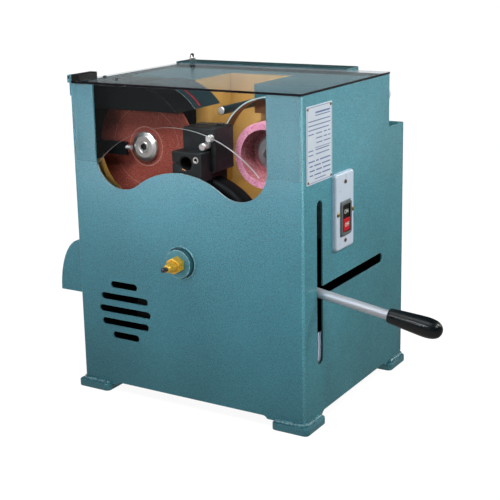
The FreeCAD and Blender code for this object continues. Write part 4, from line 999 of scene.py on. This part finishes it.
# ------------------------------------------------------------------ stage
def make_stage():
    me = bpy.data.meshes.new("floor")
    s = 20.0
    me.from_pydata([(-s, -s, 0), (s, -s, 0), (s, s, 0), (-s, s, 0)], [], [(0, 1, 2, 3)])
    floor = bpy.data.objects.new("floor", me)
    bpy.context.scene.collection.objects.link(floor)
    k = Look("floor_paper")
    k.set(spec=0.0)
    k.bsdf.inputs["Emission Color"].default_value = (1, 1, 1, 1)
    k.bsdf.inputs["Emission Strength"].default_value = 0.945
    k.color(k.ramp(k.noise(3, 2, 0.5), (0.3, (0.085, 0.085, 0.085)), (0.7, (0.09, 0.09, 0.09))))
    k.rough(k.span(k.noise(5, 2, 0.5), 0.0, 1.0, 0.9, 1.0))
    me.materials.append(k.mat)

    # a white room around it, far away
    bm = bmesh.new()
    bmesh.ops.create_uvsphere(bm, u_segments=48, v_segments=24, radius=18)
    me = bpy.data.meshes.new("backdrop")
    bm.to_mesh(me)
    bm.free()
    room = bpy.data.objects.new("backdrop", me)
    bpy.context.scene.collection.objects.link(room)
    k = Look("backdrop_paper")
    k.set(color=(0, 0, 0), spec=0.0, rough=1.0)
    k.bsdf.inputs["Emission Color"].default_value = (1, 1, 1, 1)
    k.bsdf.inputs["Emission Strength"].default_value = 1.02
    me.materials.append(k.mat)
    for o in (floor, room):
        o.visible_diffuse = o.visible_glossy = o.visible_transmission = False
        o.visible_shadow = False

    # the room's light: pale below, dark above, brightest towards the front left
    w = bpy.data.worlds.new("studio")
    w.use_nodes = True
    t = w.node_tree
    bg = t.nodes["Background"]
    co = t.nodes.new("ShaderNodeTexCoord")
    sep = t.nodes.new("ShaderNodeSeparateXYZ")
    low, side = t.nodes.new("ShaderNodeMapRange"), t.nodes.new("ShaderNodeMapRange")
    dot, mul = t.nodes.new("ShaderNodeVectorMath"), t.nodes.new("ShaderNodeMath")
    dot.operation, mul.operation = "DOT_PRODUCT", "MULTIPLY"
    az = math.radians(-31)
    dot.inputs[1].default_value = (math.sin(az), -math.cos(az), 0)
    for node, lo, hi, va, vb in ((low, -0.25, 0.15, 1.0, UPPER), (side, -0.8, 0.8, ROOM[0], ROOM[1])):
        node.inputs["From Min"].default_value, node.inputs["From Max"].default_value = lo, hi
        node.inputs["To Min"].default_value, node.inputs["To Max"].default_value = va, vb
    t.links.new(co.outputs["Generated"], sep.inputs[0])
    t.links.new(sep.outputs["Z"], low.inputs["Value"])
    t.links.new(co.outputs["Generated"], dot.inputs[0])
    t.links.new(dot.outputs["Value"], side.inputs["Value"])
    t.links.new(low.outputs["Result"], mul.inputs[0])
    t.links.new(side.outputs["Result"], mul.inputs[1])
    t.links.new(mul.outputs[0], bg.inputs["Strength"])
    bg.inputs["Color"].default_value = (1.0, 0.92, 0.84, 1)
    bpy.context.scene.world = w

    groups = {}
    for key, names in (("outside", OUTSIDE), ("inside", INSIDE), ("front", OUTSIDE + AROUND), ("lid", ("lid_sheet",)), ("strip", ("lever_stop_strip",)),
                       ("lining", ("chamber_liner_shell",))):
        groups[key] = bpy.data.collections.new(key + "_pieces")
        for n in names:
            groups[key].objects.link(bpy.data.objects[n])
    for name, az, el, far, aim, size, watts, spread, tint, only in LIGHTS:
        d = bpy.data.lights.new(name, "AREA")
        d.shape, d.size, d.size_y = "RECTANGLE", size[0], size[1]
        d.energy, d.spread, d.color = watts, math.radians(spread), tint
        o = bpy.data.objects.new(name, d)
        a, e = math.radians(az), math.radians(el)
        aim = Vector(aim)
        o.location = aim + far * Vector((math.sin(a) * math.cos(e), -math.cos(a) * math.cos(e), math.sin(e)))
        o.rotation_mode = "QUATERNION"
        o.rotation_quaternion = (aim - o.location).to_track_quat("-Z", "Y")
        o.visible_camera = False
        bpy.context.scene.collection.objects.link(o)
        if only:
            o.light_linking.receiver_collection = groups[only]
    d = bpy.data.lights.new("floor_light", "SUN")
    d.energy, d.angle = 3.0, math.radians(60)
    sun = bpy.data.objects.new("floor_light", d)
    bpy.context.scene.collection.objects.link(sun)
    only = bpy.data.collections.new("floor_only")
    only.objects.link(floor)
    sun.light_linking.receiver_collection = only


OUTSIDE = ("front_panel_shell", "right_side_shell", "left_side_shell", "discharge_hood_shell", "corner_pads", "pad_beads", "boss", "nipple",
           "rear_cover_upper_shell", "rear_cover_lower_shell", "hinge_knuckles_shell", "lever_stop_strip")
AROUND = ("lever_bar", "lever_handle", "hinge_blocks_shell", "hinge_screw_heads", "lid_sheet", "lid_front_sheet", "lid_stud", "top_deck_shell")
INSIDE = ("chamber_liner_shell", "cup_shroud_shell", "grinding_disc", "hub_flanges", "disc_bolt_shell", "face_wheel",
          "cup_flange_and_nut_shell", "disc_guard_front_shell", "disc_guard_rear_shell", "guard_stripe", "guard_side_plate", "swing_arm_shell",
          "clamp_block_shell", "clamp_jaw_shell", "clamp_screw_shell", "bushes", "pin_heads", "block_top_screw", "dressing_rod",
          "splash_drum", "coolant_bar_shell")
ROOM = (0.255, 0.400)
UPPER = 0.12
COOL, WARM, PLAIN = (0.97, 1.0, 1.06), (1.0, 1.0, 0.94), (1.0, 1.0, 1.0)
LIGHTS = [
    # name, azimuth from the front, elevation, distance, aim, size, watts, spread, tint, what it lights
    ("key_box", -15, 28, 2.2, (-0.03, -0.15, 0.46), (0.8, 0.3), 0.60, 24, COOL, "front"),
    ("fill_box", 25, 10, 2.2, (0, -0.1, 0.45), (0.9, 0.3), 0.16, 30, COOL, "outside"),
    ("low_card", -31, -8, 1.1, (-0.05, -0.15, 0.42), (0.7, 0.3), 0.483, 60, COOL, "outside"),
    ("right_box", 76, 40, 2.2, (0.12, -0.02, 0.41), (0.6, 0.3), 0.58, 27, WARM, None),
    ("right_rear_box", 126, 36, 2.2, (0.12, -0.02, 0.41), (0.5, 0.3), 0.85, 34, WARM, None),
    ("rear_card", 149, -8, 1.1, (0.12, 0.0, 0.42), (0.5, 0.25), 0.030, 60, PLAIN, "outside"),
    ("edge_strip", 60, -10, 1.2, (0.12, -0.14, 0.45), (0.30, 0.30), 0.40, 50, PLAIN, "outside"),
    ("top_box", -10, 68, 1.5, (0, -0.1, 0.45), (1.2, 0.6), 2.6, 120, PLAIN, None),
    ("chamber_box", 0, 55, 1.5, (0, -0.05, 0.42), (1.0, 0.6), 3.2, 50, PLAIN, "inside"),
    ("chamber_fill", -12, 14, 1.5, (0, -0.05, 0.40), (0.6, 0.4), 0.46, 40, PLAIN, "inside"),
    ("lining_light", 34, 13, 1.5, (-0.263, -0.099, 0.346), (0.1, 0.1), 0.06, 10, PLAIN, "lining"),
    ("slot_light", 31, 6, 1.5, (0.118, -0.08, 0.13), (0.2, 0.2), 0.35, 30, PLAIN, "strip"),
    ("lid_card", 208, 4.5, 1.7, (0.0, 0.1, 0.49), (2.2, 0.25), 2.1, 180, (0.86, 1.0, 1.05), "lid"),
    ("rear_box", 150, 12, 2.2, (0.0, 0.15, 0.35), (0.8, 0.5), 0.6, 50, PLAIN, None),
    ("left_box", 255, 22, 2.2, (-0.2, 0.0, 0.35), (0.8, 0.5), 0.7, 50, PLAIN, None),
]
make_stage()
view = bpy.context.scene.view_settings
view.view_transform, view.look = "Standard", "None"
view.exposure, view.gamma = 0.0, 1.0
